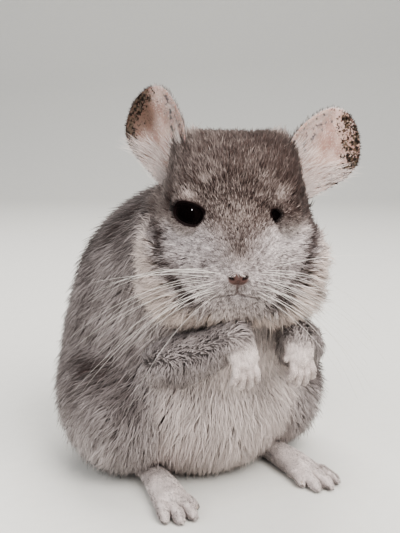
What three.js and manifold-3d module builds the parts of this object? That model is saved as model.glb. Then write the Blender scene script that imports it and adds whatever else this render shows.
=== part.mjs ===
// A grey long-tailed chinchilla, life size, sitting up on its haunches with both forepaws held at the chest.
// Millimetres, +Z up. The body faces -Y, its left side is at +X, and the head is turned to its right.
// The origin is the middle of the seat, the flat patch where the coat of the rump rests on the floor.
// Every form is the outside of the coat, and locks of hair stand where the coat breaks its outline.
import * as THREE from "three";
import { mergeVertices } from "three/addons/utils/BufferGeometryUtils.js";
import Module from "manifold-3d";

const wasm = await Module();
wasm.setup();

// Driving dimensions
const bodyWidth = 132;
const headWidth = 74;
const earLength = 46;
const earWidth = 39;
const eyeDiameter = 14.4;
const hindFootLength = 60;
const forepawLength = 21;
const tailLength = 150;
const tailWidth = 35;
const lockLength = 27;
const lockWidth = 9.5;
const lockThick = 3;
const partGap = 0.3;

// How the head is carried, in degrees, about the middle of the skull
const headTurn = -25;
const headNod = 10;
const headTilt = 1;
const skullMiddle = [-4, -62, 128];

const degrees = THREE.MathUtils.degToRad;
const V = (p) => new THREE.Vector3(...p);
const sides = { left: 1, right: -1 };
const mirrored = ([x, y, z], side) => [x * side, y, z];

// Colours of the finished animal
const greyCoat = new THREE.MeshStandardMaterial({ color: 0x8a8482, roughness: 0.95, metalness: 0 });
const paleCoat = new THREE.MeshStandardMaterial({ color: 0xd8d0c6, roughness: 0.95, metalness: 0 });
const earSkin = new THREE.MeshStandardMaterial({ color: 0xc9a59a, roughness: 0.7, metalness: 0 });
const eyeBlack = new THREE.MeshStandardMaterial({ color: 0x120d0b, roughness: 0.05, metalness: 0 });
const tailCoat = new THREE.MeshStandardMaterial({ color: 0x5d5654, roughness: 0.95, metalness: 0 });

// Distances to forms

// Roughly how far a point lies outside an ellipsoid with this middle and these half sizes.
function toEllipsoid(p, at, half) {
  const x = p.x - at[0];
  const y = p.y - at[1];
  const z = p.z - at[2];
  const near = Math.hypot(x / half[0], y / half[1], z / half[2]);
  const slope = Math.hypot(x / half[0] ** 2, y / half[1] ** 2, z / half[2] ** 2);
  return slope < 1e-9 ? -Math.min(...half) : (near * (near - 1)) / slope;
}

// The smaller of two distances, rounded over where they are within a blend of each other.
function blended(a, b, blend) {
  const share = Math.max(blend - Math.abs(a - b), 0) / blend;
  return Math.min(a, b) - (share * share * blend) / 4;
}

// Forms marked with both: true are repeated on the other side.
function bothSides(forms) {
  const others = forms.filter((form) => form.both).map((form) => ({ ...form, at: mirrored(form.at, -1) }));
  return [...forms, ...others];
}

function toForms(p, forms, blend) {
  const join = (far, form) => blended(far, toEllipsoid(p, form.at, form.half), form.blend ?? blend);
  return forms.reduce(join, 1e3);
}

// Shapes and solids

// A ball of points drawn in to where distance is level, seen from a middle that the whole surface faces.
// The points lie closer together on the side that dense points to.
function castBall(middle, reach, split, distance, level = 0, dense = [0, 0, 0]) {
  const ball = mergeVertices(stripped(new THREE.IcosahedronGeometry(1, split)), 1e-4).translate(...dense);
  const at = ball.attributes.position;
  const from = V(middle);
  const ray = new THREE.Vector3();
  const point = (t) => from.clone().addScaledVector(ray, t);
  for (let i = 0; i < at.count; i++) {
    ray.fromBufferAttribute(at, i).normalize();
    let outer = reach;
    while (outer > 1 && distance(point(outer)) > level) outer -= 1;
    let inner = outer;
    outer += 1;
    for (let step = 0; step < 14; step++) {
      const half = (inner + outer) / 2;
      if (distance(point(half)) > level) outer = half;
      else inner = half;
    }
    at.setXYZ(i, ...point(inner).toArray());
  }
  return ball;
}

function stripped(geometry) {
  for (const name of Object.keys(geometry.attributes)) {
    if (name !== "position") geometry.deleteAttribute(name);
  }
  return geometry;
}

function toSolid(geometry, matrix) {
  const shape = mergeVertices(stripped(geometry.clone()), 1e-3);
  if (matrix) shape.applyMatrix4(matrix);
  return new wasm.Manifold(
    new wasm.Mesh({
      numProp: 3,
      vertProperties: new Float32Array(shape.attributes.position.array),
      triVerts: new Uint32Array(shape.index.array),
    }),
  );
}

function toGeometry(solid) {
  const mesh = solid.getMesh();
  const at = new Float32Array(mesh.numVert * 3);
  for (let i = 0; i < mesh.numVert; i++) {
    at.set(mesh.vertProperties.subarray(i * mesh.numProp, i * mesh.numProp + 3), i * 3);
  }
  return new THREE.BufferGeometry()
    .setAttribute("position", new THREE.BufferAttribute(at, 3))
    .setIndex(new THREE.BufferAttribute(new Uint32Array(mesh.triVerts), 1));
}

const joined = (solids) => solids.reduce((whole, solid) => whole.add(solid));
const largest = (solid) => solid.decompose().reduce((a, b) => (b.volume() > a.volume() ? b : a));

// A tube through rings of { at, wide, high }, with pointed ends of the length tip. Rings stand square to the
// way, with wide along across and high along the other direction.
function tube(rings, corners, across, grow = 0) {
  const points = [];
  const faces = [];
  const at = rings.map((ring) => V(ring.at));
  const way = at.map((_, i) => {
    const ahead = at[Math.min(i + 1, at.length - 1)].clone();
    return ahead.sub(at[Math.max(i - 1, 0)]).normalize();
  });
  const start = at[0].clone().addScaledVector(way[0], -(rings[0].tip ?? 0) - grow);
  const end = at.at(-1).clone().addScaledVector(way.at(-1), (rings.at(-1).tip ?? 0) + grow);
  at.forEach((middle, i) => {
    const wide = across.clone().addScaledVector(way[i], -across.dot(way[i])).normalize();
    const high = way[i].clone().cross(wide);
    for (let c = 0; c < corners; c++) {
      const turn = (2 * Math.PI * c) / corners;
      const w = Math.cos(turn) * (rings[i].wide / 2 + grow);
      const h = Math.sin(turn) * (rings[i].high / 2 + grow);
      points.push(middle.clone().addScaledVector(wide, w).addScaledVector(high, h));
    }
  });
  points.push(start, end);
  const corner = (ring, c) => ring * corners + (c % corners);
  for (let c = 0; c < corners; c++) {
    faces.push(points.length - 2, corner(0, c + 1), corner(0, c));
    for (let i = 0; i + 1 < at.length; i++) {
      faces.push(corner(i, c), corner(i, c + 1), corner(i + 1, c + 1));
      faces.push(corner(i, c), corner(i + 1, c + 1), corner(i + 1, c));
    }
    faces.push(points.length - 1, corner(at.length - 1, c), corner(at.length - 1, c + 1));
  }
  return new THREE.BufferGeometry().setFromPoints(points).setIndex(faces);
}

// Locks of hair

// A flat tapered lock along a way from its root, at 0, to its tip, at 1, with its flat sides to outward
const lockRings = [
  { share: 0, wide: 0.7, thick: 0.8 },
  { share: 0.34, wide: 1, thick: 1 },
  { share: 0.7, wide: 0.72, thick: 0.7 },
];

function lock(way, outward, size, grow = 0) {
  const rings = lockRings.map(({ share, wide, thick }) => ({
    at: way(share).toArray(),
    wide: wide * lockWidth * size,
    high: thick * lockThick * size,
  }));
  rings.at(-1).tip = way(1).distanceTo(way(lockRings.at(-1).share));
  const across = way(0.7).sub(way(0)).cross(outward).normalize();
  return toSolid(tube(rings, 4, across, grow));
}

// The outward direction of a form at a point
function outwardOf(distance, p) {
  const step = 0.5;
  const slope = (axis) => {
    const ahead = p.clone().addScaledVector(axis, step);
    return distance(ahead) - distance(p.clone().addScaledVector(axis, -step));
  };
  return new THREE.Vector3(slope(V([1, 0, 0])), slope(V([0, 1, 0])), slope(V([0, 0, 1]))).normalize();
}

// The way of a lock on a form, from a point near it along the lie of the coat, its root sunk, its tip lifted
const lockSink = 2.2;
const lockLift = 2.8;

function coatWay(distance, from, lie, long) {
  const places = [];
  const steps = 10;
  const p = from.clone();
  for (let i = 0; i <= steps; i++) {
    const level = THREE.MathUtils.lerp(-lockSink, lockLift, i / steps);
    for (let pull = 0; pull < 4; pull++) p.addScaledVector(outwardOf(distance, p), level - distance(p));
    places.push(p.clone());
    const outward = outwardOf(distance, p);
    const along = lie(p).addScaledVector(outward, -lie(p).dot(outward)).normalize();
    p.addScaledVector(along, long / steps);
  }
  return new THREE.CatmullRomCurve3(places);
}

function coatLock(distance, way, size) {
  return lock((t) => way.getPoint(t), outwardOf(distance, way.getPoint(0.5)), size);
}

// Random numbers from 0 to 1 that are the same in each run
function drawn(seed) {
  let state = seed;
  return () => {
    state = (state * 16807) % 2147483647;
    return state / 2147483647;
  };
}

// The floor and everything under it, as a cutter
const underFloor = toSolid(new THREE.BoxGeometry(600, 600, 100).translate(0, 0, -50));

// Trunk: rump, belly, back, shoulders, chest and both haunches under one coat
const trunkBlend = 16;
const trunkForms = bothSides([
  { at: [0, 7, 50], half: [0.44 * bodyWidth, 57, 58] },
  { at: [0, -24, 46], half: [0.37 * bodyWidth, 44, 50] },
  { at: [0, -4, 84], half: [0.4 * bodyWidth, 50, 50] },
  { at: [0, -30, 104], half: [0.34 * bodyWidth, 40, 38] },
  { at: [-2, -44, 114], half: [0.25 * bodyWidth, 31, 31] },
  { at: [0, -50, 88], half: [0.25 * bodyWidth, 27, 34] },
  { at: [0.3 * bodyWidth, -10, 34], half: [0.2 * bodyWidth, 43, 35], both: true, blend: 8 },
]);
const toTrunk = (p) => toForms(p, trunkForms, trunkBlend);
const trunkMiddle = [0, -14, 64];
const trunkReach = 110;
const trunkSplit = 8;
const castTrunk = (level) => toSolid(castBall(trunkMiddle, trunkReach, trunkSplit, toTrunk, level));

// Head, in its own frame: the middle of the skull is the origin, the nose points to -Y
const headPlace = new THREE.Group();
headPlace.position.set(...skullMiddle);
headPlace.rotation.set(degrees(headNod), degrees(headTilt), degrees(headTurn), "ZXY");
headPlace.updateMatrixWorld(true);
const headMatrix = headPlace.matrixWorld.clone();

const headBlend = 10;
const fineBlend = 3;
const headForms = bothSides([
  { at: [0, 2, 4], half: [0.405 * headWidth, 36, 30] },
  { at: [0, -3, 17], half: [0.335 * headWidth, 26, 17] },
  { at: [0.25 * headWidth, -6, -12], half: [0.245 * headWidth, 25, 19], both: true },
  { at: [0.24 * headWidth, -14, -22], half: [0.22 * headWidth, 17, 15.5], both: true },
  { at: [0, -24, -1], half: [0.23 * headWidth, 20, 15] },
  { at: [0, -30, -12], half: [0.22 * headWidth, 15, 13] },
  { at: [0, -24, -25], half: [0.2 * headWidth, 14, 10] },
  { at: [0.2 * headWidth, -15, 14], half: [9, 11, 8], both: true },
  { at: [0.2 * headWidth, 3, 24.5], half: [9.5, 13, 10], both: true },
  { at: [7.8, -37.5, -13.5], half: [7.8, 8, 7.4], both: true, blend: fineBlend },
  { at: [0, -43.6, -9.6], half: [4.9, 4, 3.6], blend: fineBlend },
  { at: [0, -37.5, -21.2], half: [5.4, 4.4, 3.2], blend: fineBlend },
]);
const toHead = (p) => toForms(p, headForms, headBlend);
const headMiddle = [0, -12, -4];
const headReach = 60;
const headSplit = 8;
const headDense = [0, -0.45, -0.12];
const castHead = (level) =>
  toSolid(castBall(headMiddle, headReach, headSplit, toHead, level, headDense), headMatrix);

// The point on the front of the head at this place across and up.
function onFace(x, z) {
  const p = new THREE.Vector3(x, -headReach, z);
  while (toHead(p) > 0 && p.y < 0) p.y += 0.1;
  return p;
}

// The ruff: two rows of locks that fringe the cheeks and the chin, pointing away from the mouth
const ruffRows = [
  { forward: -0.8, count: 14, reach: 92 },
  { forward: -0.36, count: 13, reach: 100 },
];
const ruffLength = 22;
const ruffMiddle = [0, -4, -8];

function ruffLocks() {
  const locks = [];
  const random = drawn(3);
  for (const { forward, count, reach } of ruffRows) {
    for (let i = 0; i < count; i++) {
      const turn = degrees(reach * (1 - (2 * i) / (count - 1)));
      const ray = new THREE.Vector3(Math.sin(turn), forward, -Math.cos(turn)).normalize();
      const start = V(ruffMiddle);
      while (toHead(start) < 0) start.addScaledVector(ray, 0.5);
      const lie = () => new THREE.Vector3(Math.sin(turn), 0.3, -Math.cos(turn) - 0.35);
      const way = coatWay(toHead, start, lie, ruffLength * (0.85 + 0.3 * random()));
      locks.push(coatLock(toHead, way, 0.8));
    }
  }
  return joined(locks).transform(headMatrix.elements);
}

// Eyes: balls behind lids, the left lids half shut
const eyeAt = [0.235 * headWidth, -22, 8.5];
const eyeLook = [0.5, -0.84, 0.2];
const lidThick = 1.2;
const lidOpening = {
  left: { wide: 12.6, high: 8 },
  right: { wide: 13.2, high: 11 },
};
const eyeSplit = 3;

function ballAt(at, radius, split) {
  return new THREE.IcosahedronGeometry(radius, split).translate(...at);
}

// The opening between the lids: an oval prism from the middle of the eye along its look.
function lidCut(side, name) {
  const { wide, high } = lidOpening[name];
  const oval = new THREE.Shape().absellipse(0, 0, wide / 2, high / 2, 0, 2 * Math.PI);
  const deep = { depth: eyeDiameter, bevelEnabled: false, curveSegments: 9 };
  const prism = new THREE.ExtrudeGeometry(oval, deep);
  const look = V(mirrored(eyeLook, side)).normalize();
  const across = new THREE.Vector3(0, 0, 1).cross(look).normalize();
  const up = look.clone().cross(across);
  prism.applyMatrix4(new THREE.Matrix4().makeBasis(across, up, look));
  return prism.translate(...mirrored(eyeAt, side));
}

// Nose and mouth: comma nostrils, the groove under the nose and the line between the lips
const nostrilAt = [2.7, -46.8, -9.4];
const nostrilHalf = [1.7, 2, 0.95];
const mouthTop = -17.2;
const mouthHalfWidth = 8.4;
const grooveWide = 1.5;

function nostril(side) {
  const ball = new THREE.IcosahedronGeometry(1, 1).scale(...nostrilHalf);
  return ball.rotateY(degrees(-28 * side)).translate(...mirrored(nostrilAt, side));
}

function groove(places) {
  const size = { wide: grooveWide, high: grooveWide, tip: 0.4 * grooveWide };
  const rings = places.map(([x, z]) => ({ at: onFace(x, z).toArray(), ...size }));
  return tube(rings, 6, new THREE.Vector3(0.3, 1, 0.2).normalize());
}

function mouthPlaces(side) {
  const drop = (share) => 0.8 * share + 1.6 * share ** 2;
  return [0, 0.3, 0.65, 1].map((share) => [side * mouthHalfWidth * share, mouthTop - drop(share)]);
}

// Ears: each a thin sheet curled into a cup, with its root sunk in the head
const earSet = {
  left: { root: [0.325 * headWidth, 9, 4.5], lean: 35, facing: 10 },
  right: { root: [0.325 * headWidth, 9, 8], lean: 18, facing: 34 },
};
const earBack = 12;
const earSunk = 6;
const earSheet = { rings: 5, steps: 28, thickMiddle: 1.7, thickRim: 0.9 };
const earCurl = { root: 1 / 13.5, tip: 1 / 42, innerRim: 0.010 };
const earOuter = { root: 0.42, tip: 0.97, from: 0.12, to: 0.78 };
const earInner = { root: 1.12, tip: 0.84, from: 0.4, to: 0.9 };

function ear({ root: at, lean, facing }) {
  const long = earLength + earSunk;
  const out = degrees(lean);
  const up = new THREE.Vector3(Math.sin(out), Math.sin(degrees(earBack)), Math.cos(out)).normalize();
  const open = new THREE.Vector3(Math.sin(degrees(facing)), -Math.cos(degrees(facing)), 0);
  open.addScaledVector(up, -open.dot(up)).normalize();
  const across = open.clone().cross(up);
  const root = V(at).addScaledVector(up, -earSunk);
  // a runs round the curl and h up the ear. The rim next to the crown is curled further than the outer one.
  const sheet = (a, h) => {
    const share = THREE.MathUtils.clamp(h / long, 0, 1);
    const rim = a > 0 ? earCurl.innerRim : 0;
    const curl = earCurl.tip + (earCurl.root - earCurl.tip) * (1 - share) ** 2 + rim;
    return root.clone()
      .addScaledVector(across, Math.sin(a * curl) / curl)
      .addScaledVector(open, (1 - Math.cos(a * curl)) / curl - 4 * share ** 2)
      .addScaledVector(up, h);
  };
  const normal = (a, h) => {
    const overA = sheet(a + 0.05, h).sub(sheet(a - 0.05, h));
    return overA.cross(sheet(a, h + 0.05).sub(sheet(a, h - 0.05))).normalize();
  };
  const { rings, steps } = earSheet;
  const front = [];
  const back = [];
  for (let ring = 0; ring <= rings; ring++) {
    const size = ring / rings;
    const thick = THREE.MathUtils.lerp(earSheet.thickMiddle, earSheet.thickRim, size ** 2);
    for (let step = 0; step < (ring ? steps : 1); step++) {
      const turn = (2 * Math.PI * step) / steps;
      const h = long * (0.5 - 0.5 * Math.cos(turn) * size);
      const { root, tip, from, to } = Math.sin(turn) > 0 ? earInner : earOuter;
      const full = root + (tip - root) * THREE.MathUtils.smoothstep(h / long, from, to);
      const a = (earWidth / 2) * Math.sin(turn) * size * full;
      front.push(sheet(a, h).addScaledVector(normal(a, h), -thick / 2));
      back.push(sheet(a, h).addScaledVector(normal(a, h), thick / 2));
    }
  }
  const index = (ring, step) => (ring ? 1 + (ring - 1) * steps + (step % steps) : 0);
  const faces = [];
  const onBoth = (a, b, c) => faces.push(a, c, b, front.length + a, front.length + b, front.length + c);
  for (let step = 0; step < steps; step++) {
    onBoth(0, index(1, step), index(1, step + 1));
    for (let ring = 1; ring < rings; ring++) {
      onBoth(index(ring, step), index(ring + 1, step), index(ring + 1, step + 1));
      onBoth(index(ring, step), index(ring + 1, step + 1), index(ring, step + 1));
    }
    const here = index(rings, step);
    const next = index(rings, step + 1);
    faces.push(here, next, front.length + next, here, front.length + next, front.length + here);
  }
  return toSolid(new THREE.BufferGeometry().setFromPoints([...front, ...back]).setIndex(faces));
}

// A digit: a short bent tube with a small claw at its end
function digit(from, to, drop, wide, claw, grow = 0) {
  const at = (share, bend) => V(from).lerp(V(to), share).addScaledVector(V(drop), bend).toArray();
  const rings = [
    { at: at(0, 0), wide, high: wide, tip: wide * 0.4 },
    { at: at(0.5, 1), wide, high: wide },
    { at: at(0.86, 0.4), wide: wide * 0.9, high: wide * 0.9 },
    { at: at(1, 0), wide: wide * 0.4, high: wide * 0.4, tip: claw },
  ];
  return tube(rings, 6, new THREE.Vector3(1, 0.13, 0.21).normalize(), grow);
}

// Forelimbs: the foreleg leaves the coat of the chest, the paw hangs from the wrist
const wrist = { left: [13.5, -88, 80], right: [-16, -87, 82] };
const elbow = [33, -58, 65];
const forelegAcross = new THREE.Vector3(0.2, 0.3, 1).normalize();

function foreleg(side, name, grow = 0) {
  const start = V(mirrored(elbow, side));
  const end = V(wrist[name]);
  const sag = V([0, -0.6, -1]);
  const at = (share, drop) => start.clone().lerp(end, share).addScaledVector(sag, drop).toArray();
  const rings = [
    { at: at(-0.2, -1), wide: 13, high: 12, tip: 2 },
    { at: at(-0.06, 0), wide: 21, high: 19 },
    { at: at(0.18, 0.8), wide: 24, high: 22 },
    { at: at(0.6, 1.4), wide: 19, high: 17.5 },
    { at: at(1, 0), wide: 12.5, high: 11.5, tip: 2.5 },
  ];
  return toSolid(tube(rings, 14, forelegAcross, grow));
}

const fingerWide = 3.8;
const fingerSpread = [-4.6, -1.7, 1.5, 4.5];
const fingerShare = [0.82, 1, 1, 0.84];

function forepaw(side, name) {
  const from = V(wrist[name]);
  const palm = from.clone().add(new THREE.Vector3(-side * 1.5, -4.2, -0.3 * forepawLength));
  const hand = new THREE.IcosahedronGeometry(1, 2).scale(6.4, 4.2, 0.36 * forepawLength);
  hand.rotateX(degrees(-24)).translate(...palm.toArray());
  const fingers = fingerSpread.map((out, i) => {
    const root = palm.clone().add(new THREE.Vector3(out * 0.82, -1.2, -0.16 * forepawLength));
    const end = palm.clone().add(V([out * 1.22, -1.6, -0.66 * forepawLength * fingerShare[i]]));
    return toSolid(digit(root.toArray(), end.toArray(), [0, -1.9, -0.6], fingerWide, 1.6));
  });
  const thumbRoot = palm.clone().add(new THREE.Vector3(-side * 4.4, 0.5, 0.5));
  const thumbEnd = thumbRoot.clone().add(new THREE.Vector3(-side * 2.4, -0.4, -3.6));
  const thumb = toSolid(digit(thumbRoot.toArray(), thumbEnd.toArray(), [0, -0.4, 0], 2.6, 0.8));
  return joined([toSolid(hand), ...fingers, thumb]);
}

// Hind feet: a long sole flat on the floor and four toes, the inner one short
const heel = [31, -22, 0];
const footSplay = 5;
const footHigh = 10.5;
const toeRoots = [
  { out: -6.2, long: 0.62, wide: 3.8 },
  { out: -3.4, long: 0.95, wide: 5.2 },
  { out: 1.4, long: 1, wide: 5.5 },
  { out: 5.8, long: 0.86, wide: 5 },
];

function hindFoot(side, grow = 0) {
  const soleLength = 0.66 * hindFootLength;
  const toeLength = 0.34 * hindFootLength;
  const rings = [
    { at: [0, 0, 4.4], wide: 10, high: 9.5, tip: 3 },
    { at: [0, -0.3 * soleLength, 4.6], wide: 12, high: footHigh },
    { at: [0, -0.7 * soleLength, 4.4], wide: 14, high: footHigh },
    { at: [0, -soleLength, 3.6], wide: 15.5, high: 9, tip: 3 },
  ];
  const sole = toSolid(tube(rings, 14, new THREE.Vector3(1, 0, 0), grow));
  const toes = toeRoots.map(({ out, long, wide }) => {
    const root = [out * 0.85, -soleLength + 2, 2.6];
    const end = [out * 1.35, -soleLength - toeLength * long + 1.6, 1.7];
    return toSolid(digit(root, end, [0, 0, 1.3], wide, 2, grow));
  });
  const turn = new THREE.Matrix4().makeRotationZ(degrees(footSplay * side));
  const mirror = new THREE.Matrix4().makeScale(side, 1, 1);
  const place = new THREE.Matrix4().makeTranslation(...mirrored(heel, side));
  return joined([sole, ...toes]).transform(place.multiply(turn).multiply(mirror).elements);
}

// Tail: a low curve over the floor from the back of the rump round to the left side. The core is flesh and
// the roots of the hair, and the locks reach the full width.
const tailWay = new THREE.CatmullRomCurve3(
  [[0, 48, 21], [9, 70, 16], [31, 88, 13.5], [59, 87, 13], [79, 68, 12.5], [88, 44, 12.5], [88, 20, 12.5]]
    .map(V),
  false,
  "centripetal",
);
const tailWayLength = tailWay.getLength();
const tailCuts = [0, 0.34, 0.63];
const tailNames = ["tail_root", "tail_middle", "tail_end"];
const tailCoreEnd = 0.83;
const tailCoreRings = 13;
const tailCorners = 10;
const tailRowStep = 9.2 / tailLength;
const locksInRow = 6;
const tailLockSink = 2.4;
const tailLockBack = 7.5 / tailLength;

// The width of the whole tail at this share of its length, out to the tips of its hairs
function tailSpread(share) {
  const bushy = 0.62 + 0.38 * THREE.MathUtils.smoothstep(share, 0.02, 0.5);
  const closing = Math.max(0, (share - 0.8) / 0.24);
  return tailWidth * bushy * (1 - 0.72 * Math.min(1, closing) ** 2);
}

function tailPoint(share) {
  const along = (share * tailLength) / tailWayLength;
  const inside = tailWay.getPointAt(THREE.MathUtils.clamp(along, 0, 1));
  return inside.addScaledVector(tailWay.getTangentAt(1), Math.max(0, along - 1) * tailWayLength);
}

function tailCore() {
  const rings = [];
  for (let i = 0; i <= tailCoreRings; i++) {
    const share = (tailCoreEnd * i) / tailCoreRings;
    const wide = tailSpread(share) / 2;
    rings.push({ at: tailPoint(share).toArray(), wide, high: wide });
  }
  rings.at(-1).tip = 5;
  return toSolid(tube(rings, tailCorners, new THREE.Vector3(0, 0, 1)));
}

// A lock of the tail, from its share of the length and its turn round the core
function tailLock(share, turn, long, size, grow) {
  const up = new THREE.Vector3(0, 0, 1);
  const across = (s) => tailPoint(s + 0.01).sub(tailPoint(s - 0.01)).cross(up).normalize();
  const outward = across(share).multiplyScalar(Math.cos(turn)).addScaledVector(up, Math.sin(turn));
  const way = (t) => {
    const s = share + (t * long) / tailLength;
    const rise = 1 - (1 - t) ** 1.6;
    const reach = THREE.MathUtils.lerp(tailSpread(share) / 4 - tailLockSink, tailSpread(s) / 2, rise);
    const p = tailPoint(s).addScaledVector(across(s), Math.cos(turn) * reach);
    p.z = Math.max(p.z + Math.sin(turn) * reach, lockThick * 0.4);
    return p;
  };
  return lock(way, outward, size, grow);
}

// The locks rooted between two shares of the length, in rows, each row set between the locks of the last
function tailRows(from, to) {
  const random = drawn(Math.round(from * 1000) + 11);
  const rows = [];
  const first = Math.ceil((from + 0.015) / tailRowStep);
  for (let row = first; row * tailRowStep < to; row++) {
    for (let k = 0; k < locksInRow; k++) {
      const turn = (2 * Math.PI * (k + (row % 2) / 2 + 0.16 * (random() - 0.5))) / locksInRow;
      const share = (row + 0.3 * (random() - 0.5)) * tailRowStep;
      rows.push({ share, turn, long: lockLength * (0.9 + 0.25 * random()), size: 0.85 + 0.3 * random() });
    }
  }
  return rows;
}

// The side of a cut square to the tail that looks to its tip, or to its root when facing is -1.
function tailSide(share, facing, gap = 0) {
  const at = tailPoint(share);
  const way = tailPoint(share + 0.01).sub(tailPoint(share - 0.01)).normalize().multiplyScalar(facing);
  const block = new THREE.BoxGeometry(400, 400, 200).translate(0, 0, 100 + gap);
  const turn = new THREE.Quaternion().setFromUnitVectors(new THREE.Vector3(0, 0, 1), way);
  return toSolid(block.applyQuaternion(turn).translate(...at.toArray()));
}

// Assembly
const trunk = castTrunk(0);
const trunkClear = castTrunk(partGap);

const part = new THREE.Group();
part.name = "chinchilla";
const head = new THREE.Group();
head.position.copy(headPlace.position);
head.rotation.copy(headPlace.rotation);
part.add(head);
part.updateMatrixWorld(true);

// Adds a solid given in the part's frame to a group, in the group's own frame.
function place(group, name, solid, material) {
  const geometry = toGeometry(largest(solid.subtract(underFloor)));
  geometry.applyMatrix4(group.matrixWorld.clone().invert());
  const mesh = new THREE.Mesh(geometry, material);
  mesh.name = name;
  group.add(mesh);
}

// Trunk and hind limbs
const neckPlane = new THREE.Vector3(0, -0.42, 0.91).normalize();
const neckLevel = 132;
const haunchAt = [0.36 * bodyWidth, -16, 30];
const haunchHalf = [30, 40, 37];

function neckSide(offset) {
  const block = new THREE.BoxGeometry(300, 300, 200).translate(0, 0, 100 + neckLevel + offset);
  const turn = new THREE.Quaternion().setFromUnitVectors(new THREE.Vector3(0, 0, 1), neckPlane);
  return toSolid(block.applyQuaternion(turn));
}

function haunch(side, grow) {
  const ball = new THREE.IcosahedronGeometry(1, 4).scale(...haunchHalf.map((half) => half + grow));
  return toSolid(ball.translate(...mirrored(haunchAt, side)));
}

// The bib: rows of locks down the chest and belly, between the forelegs, each row set between those above
const bibRows = { top: 88, step: 9.5, count: 6, apart: 11.5, halfWidth: 25 };
const bibLie = () => new THREE.Vector3(0, -0.1, -1);
const forelegRoom = 15;

function clearOfForelegs(p) {
  return Object.entries(sides).every(([name, side]) => {
    const bone = new THREE.Line3(V(mirrored(elbow, side)), V(wrist[name]));
    return bone.closestPointToPoint(p, true, new THREE.Vector3()).distanceTo(p) > forelegRoom;
  });
}

function bibLocks() {
  const random = drawn(5);
  const ways = [];
  for (let row = 0; row < bibRows.count; row++) {
    for (let x = -bibRows.halfWidth; x <= bibRows.halfWidth; x += bibRows.apart) {
      const between = (row % 2) * 0.5 * bibRows.apart;
      const from = new THREE.Vector3(x + between, -110, bibRows.top - row * bibRows.step);
      while (toTrunk(from) > 0) from.y += 0.5;
      const way = coatWay(toTrunk, from, bibLie, lockLength * (0.75 + 0.25 * random()));
      if (way.getPoints(5).every(clearOfForelegs)) ways.push(way);
    }
  }
  return ways.map((way) => coatLock(toTrunk, way, 1.15));
}

const feetClear = joined(Object.values(sides).map((side) => hindFoot(side, partGap)));
const dressed = joined([trunk, ...bibLocks()]).subtract(feetClear);
let torso = dressed.subtract(neckSide(0));
for (const [name, side] of Object.entries(sides)) {
  place(part, `haunch_${name}`, dressed.intersect(haunch(side, 0)), greyCoat);
  place(part, `hind_foot_${name}`, hindFoot(side), paleCoat);
  torso = torso.subtract(haunch(side, partGap));
}
place(part, "torso", torso, greyCoat);
place(part, "neck", dressed.intersect(neckSide(partGap)), greyCoat);

// Forelimbs
for (const [name, side] of Object.entries(sides)) {
  place(part, `foreleg_${name}`, foreleg(side, name).subtract(trunkClear), greyCoat);
  place(part, `forepaw_${name}`, forepaw(side, name).subtract(foreleg(side, name, partGap)), paleCoat);
}

// Head, eyes and ears
const inHead = (geometry) => toSolid(geometry, headMatrix);
let skull = castHead(0).add(ruffLocks());
const skullClear = castHead(partGap);
for (const side of Object.values(sides)) {
  skull = skull.add(inHead(ballAt(mirrored(eyeAt, side), eyeDiameter / 2 + partGap + lidThick, eyeSplit)));
}
for (const [name, side] of Object.entries(sides)) {
  skull = skull.subtract(inHead(ballAt(mirrored(eyeAt, side), eyeDiameter / 2 + partGap, eyeSplit)));
  skull = skull.subtract(inHead(lidCut(side, name)));
  skull = skull.subtract(inHead(nostril(side)));
  skull = skull.subtract(inHead(groove(mouthPlaces(side))));
  place(head, `eye_${name}`, inHead(ballAt(mirrored(eyeAt, side), eyeDiameter / 2, eyeSplit)), eyeBlack);
  const clear = joined([skullClear, trunkClear]);
  const sheet = side > 0 ? ear(earSet[name]) : ear(earSet[name]).mirror([1, 0, 0]);
  place(head, `ear_${name}`, sheet.transform(headMatrix.elements).subtract(clear), earSkin);
}
skull = skull.subtract(inHead(groove([[0, -12], [0, -13.8], [0, -15.6], [0, mouthTop]])));
place(head, "head", skull.subtract(trunkClear), greyCoat);

// Tail. The last row of each length is set back, so that its locks are above the next core when they pass
// the cut, and the next length is cut clear of them.
const tailLocks = (rows, grow) => rows.map((row) => tailLock(row.share, row.turn, row.long, row.size, grow));
tailNames.forEach((name, i) => {
  const from = tailCuts[i];
  const to = tailCuts[i + 1] ?? 1;
  const lastRow = Math.min(to - tailLockBack, tailCoreEnd);
  let piece = tailCore().intersect(tailSide(from, 1, partGap)).intersect(tailSide(to, -1));
  piece = joined([piece, ...tailLocks(tailRows(from, lastRow), 0)]).subtract(trunkClear);
  if (i > 0) {
    const before = tailRows(tailCuts[i - 1], from - tailLockBack);
    const passing = before.filter((row) => row.share + row.long / tailLength > from);
    piece = piece.subtract(joined(tailLocks(passing, partGap)));
  }
  place(part, name, piece, tailCoat);
});

export default part;
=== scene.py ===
import math

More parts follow.
